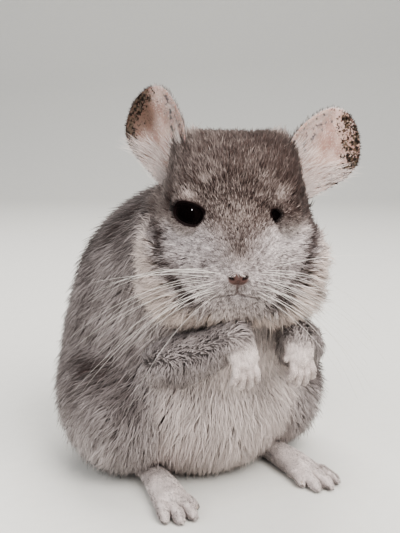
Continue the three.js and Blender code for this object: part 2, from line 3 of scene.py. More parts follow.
import bmesh
import bpy
import numpy as np
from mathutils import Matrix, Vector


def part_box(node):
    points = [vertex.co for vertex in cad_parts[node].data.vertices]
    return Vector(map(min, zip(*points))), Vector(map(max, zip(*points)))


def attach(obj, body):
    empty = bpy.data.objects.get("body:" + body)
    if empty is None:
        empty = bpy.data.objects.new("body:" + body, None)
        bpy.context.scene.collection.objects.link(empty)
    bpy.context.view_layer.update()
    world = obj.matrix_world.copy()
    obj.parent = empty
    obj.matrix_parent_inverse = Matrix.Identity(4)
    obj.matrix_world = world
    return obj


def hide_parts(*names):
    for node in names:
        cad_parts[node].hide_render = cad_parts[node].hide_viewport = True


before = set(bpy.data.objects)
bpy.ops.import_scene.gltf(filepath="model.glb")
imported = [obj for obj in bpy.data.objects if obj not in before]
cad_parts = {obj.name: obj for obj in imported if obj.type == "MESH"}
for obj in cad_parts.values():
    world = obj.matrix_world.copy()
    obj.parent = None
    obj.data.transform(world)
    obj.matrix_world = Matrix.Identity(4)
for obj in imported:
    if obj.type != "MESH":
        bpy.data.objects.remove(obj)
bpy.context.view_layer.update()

# Camera: level with the face and a little above it, close enough for the animal to fill the upright picture.
# The picture is 400 by 533 pixels, and the middle of the head lies right of its centre and above it.
mm = 0.001
skull_middle = np.array((-4.0, -62.0, 128.0))
camera_azimuth = math.radians(-26)
camera_elevation = math.radians(12)
camera_distance = 400
picture_height = 533
picture_centre = (200, 266.5)
head_in_picture = (233, 216)
pixel = 0.43

camera_back = np.array((
    math.sin(camera_azimuth) * math.cos(camera_elevation),
    -math.cos(camera_azimuth) * math.cos(camera_elevation),
    math.sin(camera_elevation),
))
camera_right = np.array((math.cos(camera_azimuth), math.sin(camera_azimuth), 0))
camera_up = np.cross(camera_back, camera_right)
aim = (
    skull_middle
    - camera_right * (head_in_picture[0] - picture_centre[0]) * pixel
    - camera_up * (picture_centre[1] - head_in_picture[1]) * pixel
)
lens = bpy.data.cameras.new("camera")
lens.sensor_fit = "VERTICAL"
lens.angle = 2 * math.atan(picture_height * pixel / 2 / camera_distance)
lens.clip_start = 0.01
camera = bpy.data.objects.new("camera", lens)
camera.location = (aim + camera_distance * camera_back) * mm
camera.rotation_euler = (math.pi / 2 - camera_elevation, 0, camera_azimuth)
bpy.context.scene.collection.objects.link(camera)
bpy.context.scene.camera = camera


# Studio: a pale paper sweep under and behind the animal, a large soft key lamp from the upper right of the
# picture, a broad fill lamp from the left, a rim lamp from above and behind, a small lamp for the points of
# light on the eyes, and an even pale room light.
def arrays_to_object(name, points, faces):
    """A mesh object from points in millimetres and faces that all have the same number of corners."""
    mesh = bpy.data.meshes.new(name)
    mesh.vertices.add(len(points))
    mesh.vertices.foreach_set("co", (np.asarray(points, float) * mm).ravel())
    corners = faces.shape[1]
    mesh.loops.add(faces.size)
    mesh.loops.foreach_set("vertex_index", faces.ravel().astype(np.int32))
    mesh.polygons.add(len(faces))
    mesh.polygons.foreach_set("loop_start", np.arange(0, faces.size, corners, dtype=np.int32))
    mesh.polygons.foreach_set("use_smooth", np.ones(len(faces), bool))
    mesh.update(calc_edges=True)
    shape = bpy.data.objects.new(name, mesh)
    bpy.context.scene.collection.objects.link(shape)
    return shape


def new_material(name):
    """A node material, its Principled shader and a maker of further nodes."""
    material = bpy.data.materials.new(name)
    material.use_nodes = True
    tree = material.node_tree
    return material, tree.nodes["Principled BSDF"], tree


sweep_far = 900
sweep_near = -1500
sweep_radius = 500
sweep_top = 1600
sweep_half = 2600
bend = [
    (sweep_far + sweep_radius * math.sin(t), sweep_radius * (1 - math.cos(t)))
    for t in np.linspace(0, math.pi / 2, 24)
]
sweep_line = [(sweep_near, 0.0)] + bend + [(sweep_far + sweep_radius, sweep_top)]
turned = -camera_azimuth
sweep_points = []
for away, height in sweep_line:
    for sideways in (-sweep_half, sweep_half):
        sweep_points.append((
            away * math.sin(turned) + sideways * math.cos(turned),
            away * math.cos(turned) - sideways * math.sin(turned),
            height,
        ))
sweep_faces = np.array([(2 * i, 2 * i + 1, 2 * i + 3, 2 * i + 2) for i in range(len(sweep_line) - 1)])
floor = arrays_to_object("floor", np.array(sweep_points), sweep_faces)
paper, paper_shader, paper_tree = new_material("pale_paper")
paper_shader.inputs["Roughness"].default_value = 0.9
fibre = paper_tree.nodes.new("ShaderNodeTexNoise")
fibre.inputs["Scale"].default_value = 900
tint = paper_tree.nodes.new("ShaderNodeValToRGB")
tint.color_ramp.elements[0].color = (0.62, 0.61, 0.58, 1)
tint.color_ramp.elements[1].color = (0.66, 0.65, 0.62, 1)
paper_tree.links.new(fibre.outputs["Fac"], tint.inputs["Fac"])
paper_tree.links.new(tint.outputs["Color"], paper_shader.inputs["Base Color"])
floor.data.materials.append(paper)
floor.visible_glossy = False


def soft_lamp(name, azimuth, elevation, distance, size, watts, colour, mirrored=False):
    """A square soft lamp aimed at the head from this side and height, which gloss mirrors or not."""
    a, e = math.radians(azimuth), math.radians(elevation)
    back = np.array((math.sin(a) * math.cos(e), -math.cos(a) * math.cos(e), math.sin(e)))
    light = bpy.data.lights.new(name, "AREA")
    light.size = size
    light.energy = watts
    light.color = colour
    lamp = bpy.data.objects.new(name, light)
    lamp.location = (skull_middle + distance * back) * mm
    lamp.rotation_euler = (math.pi / 2 - e, 0, a)
    lamp.visible_glossy = mirrored
    bpy.context.scene.collection.objects.link(lamp)


soft_lamp("key", 14, 46, 900, 0.7, 16, (1.0, 0.97, 0.93))
soft_lamp("fill", -92, 22, 1000, 0.9, 6, (1.0, 0.99, 0.97))
soft_lamp("rim", 165, 50, 900, 0.6, 8, (1.0, 0.98, 0.95))
soft_lamp("glint", -38, 32, 900, 0.09, 0.8, (1.0, 1.0, 1.0), mirrored=True)
world = bpy.data.worlds.new("room")
world.use_nodes = True
world.node_tree.nodes["Background"].inputs["Color"].default_value = (0.92, 0.95, 1.0, 1)
world.node_tree.nodes["Background"].inputs["Strength"].default_value = 0.5
world.cycles_visibility.glossy = False
bpy.context.scene.world = world
bpy.context.scene.view_settings.look = "AgX - Medium High Contrast"


# Skin: one closed surface over the whole body, at the depth of the roots of the hair. Its forms are those of
# a sitting chinchilla: rump, belly, shoulders, skull, cheeks and muzzle, with slim limbs and a tail.
body_width = 132
head_width = 74
both = (1, -1)


def unit(v):
    return v / np.maximum(np.linalg.norm(v, axis=-1, keepdims=True), 1e-9)


def smooth(value, low, high):
    """0 below low, 1 above high and a smooth rise between, also where low is the larger."""
    share = np.clip((np.asarray(value, float) - low) / (high - low), 0, 1)
    return share * share * (3 - 2 * share)


def to_ellipsoid(p, at, half):
    q = p - np.array(at, float)
    half = np.array(half, float)
    near = np.linalg.norm(q / half, axis=1)
    slope = np.linalg.norm(q / half**2, axis=1)
    return near * (near - 1) / np.maximum(slope, 1e-6)


def blended(a, b, blend):
    share = np.maximum(blend - np.abs(a - b), 0) / blend
    return np.minimum(a, b) - share**2 * blend / 4


def to_forms(p, forms, blend):
    """How far points lie outside blended ellipsoids: (place, half sizes, own blend if it has one)."""
    far = to_ellipsoid(p, *forms[0][:2])
    for at, half, *own in forms[1:]:
        far = blended(far, to_ellipsoid(p, at, half), own[0] if own else blend)
    return far


def to_chain(p, places, radii):
    """How far points lie outside a limb that runs through these places with these radii."""
    far = np.full(len(p), 1e3)
    for a, b, wide_a, wide_b in zip(places, places[1:], radii, radii[1:]):
        way = np.subtract(b, a)
        share = np.clip((p - a) @ way / (way @ way), 0, 1)
        reach = np.linalg.norm(p - a - share[:, None] * way, axis=1) - (wide_a + (wide_b - wide_a) * share)
        far = np.minimum(far, reach)
    return far


def turned_about(axis, angle):
    """The 3 by 3 turn about one axis."""
    a, b = [(1, 2), (2, 0), (0, 1)][axis]
    turn = np.eye(3)
    turn[a, a] = turn[b, b] = math.cos(angle)
    turn[b, a] = math.sin(angle)
    turn[a, b] = -math.sin(angle)
    return turn


trunk_blend = 16
trunk_forms = [
    ((0, 7, 50), (0.44 * body_width, 57, 58)),
    ((0, -24, 46), (0.37 * body_width, 44, 50)),
    ((0, -4, 84), (0.4 * body_width, 50, 50)),
    ((0, -30, 104), (0.34 * body_width, 40, 38)),
    ((-2, -44, 114), (0.25 * body_width, 31, 31)),
    ((0, -50, 88), (0.25 * body_width, 27, 34)),
] + [((s * 0.3 * body_width, -10, 34), (0.2 * body_width, 43, 35), 8) for s in both]

head_turn, head_nod, head_tilt = map(math.radians, (-25, 10, 1))
head_frame = turned_about(2, head_turn) @ turned_about(0, head_nod) @ turned_about(1, head_tilt)
head_blend = 10
fine_blend = 3
head_forms = (
    [((0, 2, 4), (0.405 * head_width, 36, 30)), ((0, -3, 17), (0.335 * head_width, 26, 17))]
    + [((s * 0.25 * head_width, -6, -12), (0.245 * head_width, 25, 19)) for s in both]
    + [((s * 0.24 * head_width, -14, -22), (0.22 * head_width, 17, 15.5)) for s in both]
    + [
        ((0, -24, -1), (0.23 * head_width, 20, 15)),
        ((0, -30, -12), (0.22 * head_width, 15, 13)),
        ((0, -24, -25), (0.2 * head_width, 14, 10)),
    ]
    + [((s * 0.2 * head_width, -15, 14), (9, 11, 8)) for s in both]
    + [((s * 0.2 * head_width, 3, 24.5), (9.5, 13, 10)) for s in both]
    + [((s * 7.8, -37.5, -13.5), (7.8, 8, 7.4), fine_blend) for s in both]
    + [((0, -43.6, -9.6), (4.9, 4, 3.6), fine_blend), ((0, -37.5, -21.2), (5.4, 4.4, 3.2), fine_blend)]
)
eye_at = {s: np.array((s * 0.235 * head_width, -23.2, 8.7)) for s in both}
eye_radius = 7.2
lid_thick = 1.1


def into_head(p):
    return (p - skull_middle) @ head_frame


def out_of_head(q):
    return q @ head_frame.T + skull_middle


def head_depth(q):
    """How deep the roots lie under the tips: nothing on the nose, 2 mm round the eyes, 4 mm on the crown."""
    return 0.3 + 1.7 * smooth(q[:, 1], -42, -24) + 2.2 * smooth(q[:, 1], -18, 10)


def to_head_skin(p):
    q = into_head(p)
    far = to_forms(q, head_forms, head_blend) + head_depth(q)
    for s in both:
        lid = np.linalg.norm(q - eye_at[s], axis=1) - eye_radius - lid_thick
        far = blended(far, lid, 2.5)
    return far


trunk_depth = 8


def to_trunk_skin(p):
    return to_forms(p, trunk_forms, trunk_blend) + trunk_depth


wrist = {1: np.array((13.5, -88, 80)), -1: np.array((-16, -87, 82))}
elbow = {s: np.array((s * 33, -58, 65)) for s in both}
forepaw_long = 21
fingers = [(-4.6, 0.82), (-1.7, 1), (1.5, 1), (4.5, 0.84)]


def foreleg_line(s):
    sag = np.array((0, -0.6, -1))
    return [elbow[s] + (wrist[s] - elbow[s]) * share + sag * drop
            for share, drop in ((-0.2, -1), (-0.06, 0), (0.18, 0.8), (0.6, 1.4), (1, 0))]


def to_foreleg(p, s):
    return to_chain(p, foreleg_line(s), (4.5, 7.5, 8.6, 6.4, 4.9))


def palm(s):
    return wrist[s] + (-1.5 * s, -4.2, -0.3 * forepaw_long)


def finger_line(s, out, share):
    """The four places of a finger, from the knuckle over the middle joint to its tip."""
    root = palm(s) + (out * 0.82, -1.2, -0.16 * forepaw_long)
    end = palm(s) + (out * 1.22, -1.6, -0.66 * forepaw_long * share)
    drop = np.array((0, -1.9, -0.6))
    return [root, root + 0.5 * (end - root) + drop, root + 0.86 * (end - root) + 0.4 * drop, end]


def to_forepaw(p, s):
    lean = turned_about(0, math.radians(-24))
    far = to_ellipsoid((p - palm(s)) @ lean, (0, 0, 0), (6, 3.9, 0.35 * forepaw_long))
    for out, share in fingers:
        far = blended(far, to_chain(p, finger_line(s, out, share), (1.55, 1.45, 1.3, 0.85)), 0.8)
    thumb = palm(s) + (-s * 4.2, 0.5, 0.5)
    return blended(far, to_chain(p, [thumb, thumb + (-s * 2.2, -0.4, -3.2)], (1.5, 1.0)), 1)


heel = {s: np.array((s * 31, -22, 0)) for s in both}
foot_splay = math.radians(5)
sole_long, toe_long = 40, 20
toes = [(-6.2, 0.62, 3.8), (-3.4, 0.95, 5.2), (1.4, 1, 5.5), (5.8, 0.86, 5)]
sole_forms = [
    ((0, -5, 4.7), (4.8, 10, 4.3)),
    ((0, -20, 4.8), (5.8, 17, 4.4)),
    ((0, -35, 4.4), (7.0, 12, 4.0)),
]


def into_foot(p, s):
    q = (p - heel[s]) @ turned_about(2, foot_splay * s)
    return q * (s, 1, 1)


def out_of_foot(q, s):
    return (q * (s, 1, 1)) @ turned_about(2, foot_splay * s).T + heel[s]


def toe_line(out, long):
    root = np.array((out * 0.85, -sole_long + 2, 3.0))
    end = np.array((out * 1.35, -sole_long - toe_long * long + 1.6, 2.2))
    return [root, (root + end) / 2 + (0, 0, 1.3), root + 0.86 * (end - root) + (0, 0, 0.5), end]


def to_hind_foot(p, s):
    q = into_foot(p, s)
    far = to_forms(q, sole_forms, 4)
    for out, long, wide in toes:
        r = wide / 2 - 0.3
        far = blended(far, to_chain(q, toe_line(out, long), (r, r, 0.92 * r, 0.6 * r)), 2)
    return far


tail_long = 150
tail_wide = 35
tail_points = np.array((
    (0, 48, 21), (9, 70, 16), (31, 88, 13.5), (59, 87, 13), (79, 68, 12.5), (88, 44, 12.5), (88, 20, 12.5),
), float)


def tail_way(steps=90):
    """Evenly spaced places along the tail, on a smooth curve through its points."""
    knots = np.concatenate(([0], np.cumsum(np.linalg.norm(np.diff(tail_points, axis=0), axis=1) ** 0.5)))
    slopes = np.gradient(tail_points, knots, axis=0)
    places = []
    for i in range(len(knots) - 1):
        gap = knots[i + 1] - knots[i]
        for t in np.linspace(0, 1, 24, endpoint=False):
            places.append(
                (2 * t**3 - 3 * t**2 + 1) * tail_points[i] + (t**3 - 2 * t**2 + t) * gap * slopes[i]
                + (3 * t**2 - 2 * t**3) * tail_points[i + 1] + (t**3 - t**2) * gap * slopes[i + 1]
            )
    places = np.array(places + [tail_points[-1]])
    run = np.concatenate(([0], np.cumsum(np.linalg.norm(np.diff(places, axis=0), axis=1))))
    wanted = np.linspace(0, min(tail_long, run[-1]), steps)
    return np.stack([np.interp(wanted, run, places[:, k]) for k in range(3)], axis=1)


tail_line = tail_way()
tail_ahead = unit(np.gradient(tail_line, axis=0))
tail_core_end = 0.83


def tail_spread(share):
    """The width of the whole tail, out to the tips of its hairs, at this share of its length."""
    closing = np.clip((share - 0.8) / 0.24, 0, 1)
    return tail_wide * (0.62 + 0.38 * smooth(share, 0.02, 0.5)) * (1 - 0.72 * closing**2)


core_count = int(tail_core_end * len(tail_line))
core_shares = np.arange(0, core_count, 5) / len(tail_line)


def to_tail(p):
    return to_chain(p, tail_line[:core_count:5], tail_spread(core_shares) / 4 - 0.6)


def node_box(*nodes, around=14):
    """The box of some of the solid's nodes in millimetres, with room round it."""
    corners = np.array([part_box(n) for n in nodes]) / mm
    return corners[:, 0].min(0) - around, corners[:, 1].max(0) + around


skin_parts = [("head", to_head_skin, node_box("head")),
              ("trunk", to_trunk_skin, node_box("torso", "neck", "haunch_left", "haunch_right"))]
for s, side in ((1, "left"), (-1, "right")):
    skin_parts += [
        ("foreleg", lambda p, s=s: to_foreleg(p, s), node_box(f"foreleg_{side}")),
        ("forepaw", lambda p, s=s: to_forepaw(p, s), node_box(f"forepaw_{side}", around=6)),
        ("hind_foot", lambda p, s=s: to_hind_foot(p, s), node_box(f"hind_foot_{side}", around=8)),
    ]
skin_parts.append(("tail", to_tail, node_box("tail_root", "tail_middle", "tail_end", around=6)))
part_blend = {"trunk": 10, "foreleg": 6, "forepaw": 2, "hind_foot": 5, "tail": 7}
floor_gap = 0.3


def to_parts(p):
    """How far points lie outside each kind of part."""
    far = {}
    for name, to_part, (low, high) in skin_parts:
        near = np.all((p > low) & (p < high), axis=1)
        reach = np.full(len(p), 60.0)
        reach[near] = to_part(p[near])
        far[name] = np.minimum(far[name], reach) if name in far else reach
    return far


def to_skin(p):
    far = to_parts(p)
    whole = far["head"]
    for name, blend in part_blend.items():
        whole = blended(whole, far[name], blend)
    return np.maximum(whole, floor_gap - p[:, 2])


def settled(points, rounds=4, step=0.25):
    """The points moved along the slope of the surface until they lie on the skin."""
    points = points.copy()
    for _ in range(rounds):
        far = to_skin(points)
        slope = np.stack([to_skin(points + step * axis) - far for axis in np.eye(3)], axis=1) / step
        size = np.maximum((slope**2).sum(1), 0.2)
        points -= np.clip(far / size, -1.5, 1.5)[:, None] * slope
    return points


def net_over(low, high, step):
    """Quads over the skin: one vertex to each small cube that it crosses, one quad to each crossed edge."""
    axes = [np.arange(low[k], high[k] + step, step) for k in range(3)]
    grid = np.stack(np.meshgrid(*axes, indexing="ij"), axis=-1)
    inside = (to_skin(grid.reshape(-1, 3)) < 0).reshape(grid.shape[:3])
    cut = [slice(None, -1), slice(1, None)]
    corners = sum(inside[cut[i], cut[j], cut[k]].astype(int) for i in (0, 1) for j in (0, 1) for k in (0, 1))
    crossed = (corners > 0) & (corners < 8)
    number = np.full(crossed.shape, -1)
    number[crossed] = np.arange(crossed.sum())
    points = grid[:-1, :-1, :-1][crossed] + step / 2
    faces = []
    for axis in range(3):
        side_a, side_b = [k for k in range(3) if k != axis]
        ahead = np.moveaxis(inside, axis, 0)
        cells = np.moveaxis(number, (axis, side_a, side_b), (0, 1, 2))
        ahead = ahead[:, 1:-1, 1:-1]
        leaving = ahead[:-1] & ~ahead[1:]
        entering = ~ahead[:-1] & ahead[1:]
        ring = [cells[:, :-1, :-1], cells[:, 1:, :-1], cells[:, 1:, 1:], cells[:, :-1, 1:]]
        out = np.stack([r[leaving] for r in ring], axis=1)
        back = np.stack([r[entering] for r in ring[::-1]], axis=1)
        if axis == 1:
            out, back = out[:, ::-1], back[:, ::-1]
        faces += [out, back]
    return points, np.concatenate(faces)


skin_step = 1.5
low, high = node_box("torso", "head", "hind_foot_left", "tail_end", "tail_middle", "haunch_right",
                     "forepaw_right", "forepaw_left", around=4)
low[2] = -skin_step
net_points, net_faces = net_over(low, high, skin_step)
skin = arrays_to_object("skin", settled(net_points), net_faces)


def points_of(shape):
    places = np.empty(len(shape.data.vertices) * 3)
    shape.data.vertices.foreach_get("co", places)
    return places.reshape(-1, 3) / mm


def give_points(shape, points):
    shape.data.vertices.foreach_set("co", (np.asarray(points) * mm).ravel())
    shape.data.update()


def finer(shape, chosen):
    """Splits the faces whose middles are chosen into four, and sets the new corners on the skin."""
    work = bmesh.new()
    work.from_mesh(shape.data)
    middles = np.array([f.calc_center_median() for f in work.faces]) / mm
    picked = chosen(middles)
    edges = {e for f, pick in zip(work.faces, picked) if pick for e in f.edges}
    bmesh.ops.subdivide_edges(work, edges=list(edges), cuts=1, use_grid_fill=True)
    work.to_mesh(shape.data)
    work.free()
    give_points(shape, settled(points_of(shape), 3))


def is_face(p):
    q = into_head(p)
    return (q[:, 1] < 8) & (to_parts(p)["head"] < 2)


def is_front(p):
    q = into_head(p)
    near_eye = np.minimum(*[np.linalg.norm(q - eye_at[s], axis=1) for s in both]) < 10.5
    return ((q[:, 1] < -35) | near_eye) & (to_parts(p)["head"] < 2)


def is_paw(p):
    far = to_parts(p)
    return (far["forepaw"] < 1) | ((far["hind_foot"] < 1) & (p[:, 1] < -50))


def is_forepaw(p):
    return to_parts(p)["forepaw"] < 0.8


finer(skin, lambda p: is_face(p) | is_paw(p))
finer(skin, lambda p: is_front(p) | is_forepaw(p))

# the openings between the lids: how wide and high, how far the middle lies outward and up on the ball,
# how much they rise and how much they narrow outward; the left lids are half shut
lid_opening = {1: (5.4, 5.8, -6.2, 0.9, 0.2, 0.1), -1: (15.6, 9.0, -0.8, 0.7, 0.1, 0.1)}


def eye_axes(s):
    """The look of an eye, and across and up on its ball."""
    look = unit(np.array((0.5 * s, -0.84, 0.2)))
    across = unit(np.cross((0, 0, 1), look))
    return look, across, np.cross(look, across)


def to_opening(q, s):
    """1 on the margin of the lids, less between them and more outside, seen along the look of the eye."""
    look, across, up = eye_axes(s)
    wide, high, shifted, raised, rise, narrowing = lid_opening[s]
    away = q - eye_at[s]
    outward = (s * (away @ across) - shifted) / (wide / 2)
    half_high = high / 2 * (1 - narrowing * np.clip(outward, -1, 1))
    reach = np.hypot(outward, (away @ up - raised - rise * outward * wide / 2) / half_high)
    return np.where(away @ look > 0, reach, 9.0)


# the folds that run outward from the lids: a crease to the side of the head, darkened partly by the fur's own
# colour and partly by painted shade
lid_fold = {
    1: [(16.5, -30, 14.0), (21, -27, 12.9), (31, -8, 6.2)],
    -1: [(-24, -22, 10), (-28, -14, 10.5), (-31, -3, 11)],
}
fold_deep, fold_wide = 0.9, 1.3
pit_deep, groove_deep, groove_wide = 2.4, 1.0, 0.75
lid_tucked = 1.3


def to_lid_fold(q, s):
    places = [np.array(place, float) for place in lid_fold[s]]
    return to_chain(q, places, [0.0] * len(places))


nostril_at = (2.9, -46.6, -9.4)
nostril_half = (1.7, 2.3, 0.9)
mouth_top = -17.2
mouth_half = 8.4


def to_lip_line(q):
    """How far points of the face lie, seen from the front, from the groove under the nose and the mouth."""
    share = np.linspace(0, 1, 6)
    line = np.stack((mouth_half * share, mouth_top - 0.8 * share - 1.6 * share**2), axis=1)
    line = np.concatenate((((0, -11.5),), line))
    flat = np.stack((np.abs(q[:, 0]), q[:, 2]), axis=1)
    return to_chain(flat, list(line), [0.0] * len(line))


def to_nostril(q):
    far = np.full(len(q), 1e3)
    for s in both:
        local = (q - np.array(nostril_at) * (s, 1, 1)) @ turned_about(1, math.radians(-28 * s))
        far = np.minimum(far, np.linalg.norm(local / nostril_half, axis=1))
    return far


def sculpted(points):
    """The skin with its fine cuts: lids tucked behind the eyeball, nostrils, the groove and the mouth."""
    q = into_head(points)
    for s in both:
        tucked = to_opening(q, s) < 1
        away = q[tucked] - eye_at[s]
        q[tucked] = eye_at[s] + unit(away) * (eye_radius - lid_tucked)
    front = q[:, 1] < -30
    pit = np.clip(1 - to_nostril(q) ** 2, 0, 1) * front
    groove = np.exp(-((to_lip_line(q) / groove_wide) ** 2)) * front
    for s in both:
        q[:, 1] += fold_deep * np.exp(-((to_lid_fold(q, s) / fold_wide) ** 2))
    q[:, 1] += pit_deep * pit + groove_deep * groove
    return out_of_head(q)


give_points(skin, sculpted(points_of(skin)))

# the unwrap of the skin's own shape, which every tuft of the coat shares at its root
bpy.context.view_layer.objects.active = skin
skin.select_set(True)
bpy.ops.object.mode_set(mode="EDIT")
bpy.ops.mesh.select_all(action="SELECT")
bpy.ops.uv.smart_project(angle_limit=math.radians(66), island_margin=0.002)
bpy.ops.object.mode_set(mode="OBJECT")
skin.select_set(False)
skin.data.uv_layers[0].name = "OFBake"


# Markings: slate grey over the crown and the back, silver on the muzzle and under the eyes, cream on the chin
# and the belly, a dark band round each cheek and a dark fold at the outer corner of each eye, whose dark is
# partly the fur's own and partly painted shade in the crease. A darker spot on the right cheek and a darker
# throat under the chin are partly painted shade. Skin and hair take the same values.
def ripple(p, size, seed):
    """A smooth seeded unevenness from about -1 to 1 with lumps of this size in millimetres."""
    draw = np.random.default_rng(seed)
    value = np.zeros(len(p))
    for _ in range(9):
        way = unit(draw.normal(size=3)) * draw.uniform(0.6, 1.5) * 2 * math.pi / (2 * size)
        value += np.sin(p @ way + draw.uniform(0, 2 * math.pi))
    return value / 3.2


def spot(q, at, reach):
    """1 at a place of the head and less with distance, by the reach on each axis."""
    return np.exp(-(((q - np.array(at, float)) / reach) ** 2).sum(1))


def shares(p):
    """How much each kind of part has to do with each place."""
    far = to_parts(p)
    weight = {name: np.exp(-np.clip(reach, -3, 60) / 1.6) for name, reach in far.items()}
    total = sum(weight.values())
    return {name: w / total for name, w in weight.items()}


mask_places = ((32, 3), (30.4, -3), (28, -9), (23.6, -16.4), (18, -21.6), (11.5, -25.8), (0, -29))
mask_line = [np.array(place, float) for place in mask_places]


def to_mask_line(q):
    """How far places lie outside the edge of the silver mask, seen from the front; inside it below 0."""
    flat = np.stack((np.abs(q[:, 0]), q[:, 2]), axis=1)
    reach = to_chain(flat, mask_line, [0.0] * len(mask_line))
    below = np.interp(flat[:, 0], [x for x, _ in mask_line[::-1]], [z for _, z in mask_line[::-1]])
    outside = (flat[:, 1] < below) | (flat[:, 0] > 32) | (q[:, 1] > -12)
    return np.where(outside, reach, -reach)


def head_marks(p):
    q = into_head(p)
    x, y, z = np.abs(q[:, 0]), q[:, 1], q[:, 2]
    mirrored = np.stack((x, y, z), axis=1)
    pale = np.full(len(p), 0.56)
    warm = np.full(len(p), 0.25)
    crown = smooth(z + 0.35 * (y + 30) + 4 * smooth(x, 14, 6), -1, 13)
    pale += (0.04 - pale) * crown
    warm += 0.5 * crown
    bridge = spot(mirrored, (0, -37, 6), (9, 9, 10))
    pale += (0.2 - pale) * 0.9 * bridge
    pale += 0.12 * spot(q, (10.5, -29, 21.5), (4.5, 8, 4.5)) - 0.004 * q[:, 0] * crown
    patch = spot(mirrored, (0, -42, 0.5), (4.6, 6, 4.4))
    pale += (0.1 - pale) * 0.9 * patch
    warm += 0.4 * patch
    under_eye = spot(mirrored, (20.5, -29, 0.0), (8, 9, 5))
    pale += (0.82 - pale) * 0.85 * under_eye
    warm -= 0.1 * under_eye
    pale += (0.74 - pale) * 0.6 * spot(q, (22.5, -26, 3.0), (6, 9, 4.2))
    brow_right = spot(q, (-19.5, -27, 17.3), (3.2, 7, 1.5))
    brow = np.maximum(brow_right, 0.8 * spot(q, (17.5, -28, 18.4), (4, 7, 2.0)))
    pale += (0.6 - pale) * 0.8 * brow
    # darker in the fold at the outer corner of each eye: partly the fur's own dark, partly painted shade in
    # the crease
    for s, dark in ((1, 0.02), (-1, -0.25)):
        fold_dark_and_shade = smooth(to_lid_fold(q, s), 2.8, 0.8)
        pale += (dark - pale) * 0.9 * fold_dark_and_shade
    beyond = to_mask_line(q)
    beard = smooth(beyond, 1.0, 3.5) * smooth(z, 2, -8) * (1 - 0.6 * smooth(y, -16, 2))
    pale += (0.84 - pale) * beard
    warm += 0.5 * beard
    goatee = spot(mirrored, (0, -34, -29.5), (15, 13, 6.5))
    pale += (1.0 - pale) * 0.75 * goatee
    warm += 0.3 * goatee
    band = np.exp(-(((beyond + 0.2) / (1.8 + 1.2 * smooth(z, -10, -2))) ** 2)) * smooth(z, 4, 0)
    band *= smooth(ripple(p, 2.4, 8), -1.0, 0.1) * (0.2 + 0.8 * smooth(x, 6, 15))
    # a darker spot on the right cheek only: partly the dark band, partly painted shade on the side turned
    # from the key lamp
    band = np.maximum(band, 0.95 * spot(q, (-29.5, -20, -3), (3.2, 8, 4.2)))
    pale -= pale * 0.95 * band
    nape = smooth(y, -4, 12) * (1 - crown)
    pale += (0.4 - pale) * nape
    ear_foot = 0.7 * spot(mirrored, (26, 0, 12), (4, 6, 5))
    ear_root = np.maximum(spot(mirrored, (18, 8, 31), (4.5, 6, 4)), ear_foot)
    pale += (0.66 - pale) * 0.8 * ear_root
    lids = np.maximum(*[smooth(to_opening(q, s), 1.13, 1.03) for s in both])
    pale -= (pale + 0.3) * lids
    return pale, warm


def markings(p, normal):
    """How pale and how warm the coat is at places of the skin, each from 0 to 1."""
    part = shares(p)
    head_pale, head_warm = head_marks(p)
    belly = smooth(-normal[:, 1] * 0.8 - normal[:, 2] * 0.55, 0.1, 0.62) * smooth(np.abs(p[:, 0]), 42, 24)
    body_pale = 0.5 - 0.4 * smooth(normal[:, 2], -0.2, 0.75) + 0.16 * smooth(p[:, 2], 50, 10)
    body_pale += (0.97 - body_pale) * belly * smooth(p[:, 2], 100, 70)
    # the throat under the chin is darker: partly the coat's own grey, partly painted shade under the head
    throat_grey_and_shade = smooth(p[:, 2], 84, 104) * smooth(-p[:, 1], 40, 60)
    body_pale += (0.28 - body_pale) * throat_grey_and_shade
    above = smooth(normal[:, 2], -0.25, 0.55)
    pales = {
        "head": head_pale,
        "trunk": body_pale,
        "foreleg": 0.42,
        "forepaw": 0.95,
        "hind_foot": 0.85,
        "tail": 0.66 - 0.6 * above,
    }
    warms = {"head": head_warm, "trunk": 0.28 + 0.2 * belly, "foreleg": 0.3, "forepaw": 0.5,
             "hind_foot": 0.4, "tail": 0.3}
    pale = sum(part[name] * pales[name] for name in part)
    warm = sum(part[name] * warms[name] for name in part)
    on_body = 1 - part["head"]
    pale += (0.03 + 0.04 * on_body) * ripple(p, 9, 5) + (0.04 + 0.03 * on_body) * ripple(p, 3.2, 6)
    pale += part["head"] * (0.3 * np.clip(pale, 0.15, 0.6)) * ripple(p, 1.1, 7)
    return np.clip(pale, -0.3, 1), np.clip(warm, 0, 1)


def bareness(p):
    """Where skin shows: the nose pad, the lips, the lid margins and the pads and tips of the toes."""
    q = into_head(p)
    pad = np.sqrt((q[:, 0] / 4.3) ** 2 + ((q[:, 2] + 10.2) / 2.9) ** 2)
    nose = smooth(pad, 1.15, 0.75) * (q[:, 1] < -36)
    lips = 0.7 * smooth(to_lip_line(q), 1.0, 0.3) * (q[:, 1] < -33)
    part = shares(p)
    paws = part["forepaw"] * smooth(p[:, 2], 72, 66) * 0.4 + part["hind_foot"] * smooth(p[:, 2], 1.5, 0.5)
    return np.clip(np.maximum.reduce([nose, lips, paws]), 0, 1)


def node(tree, kind, inputs=(), **settings):
    """A node with its settings and with values or links on its inputs, by place or name."""
    made = tree.nodes.new(kind)
    for key, value in settings.items():
        setattr(made, key, value)
    for key, value in dict(inputs).items():
        if isinstance(value, bpy.types.NodeSocket):
            tree.links.new(value, made.inputs[key])
        else:
            made.inputs[key].default_value = value
    return made


def mixed(tree, share, a, b, how="MIX"):
    """The colour between a and b at this share."""
    made = node(tree, "ShaderNodeMix", {0: share, 6: a, 7: b}, data_type="RGBA", blend_type=how)
    return made.outputs[2]


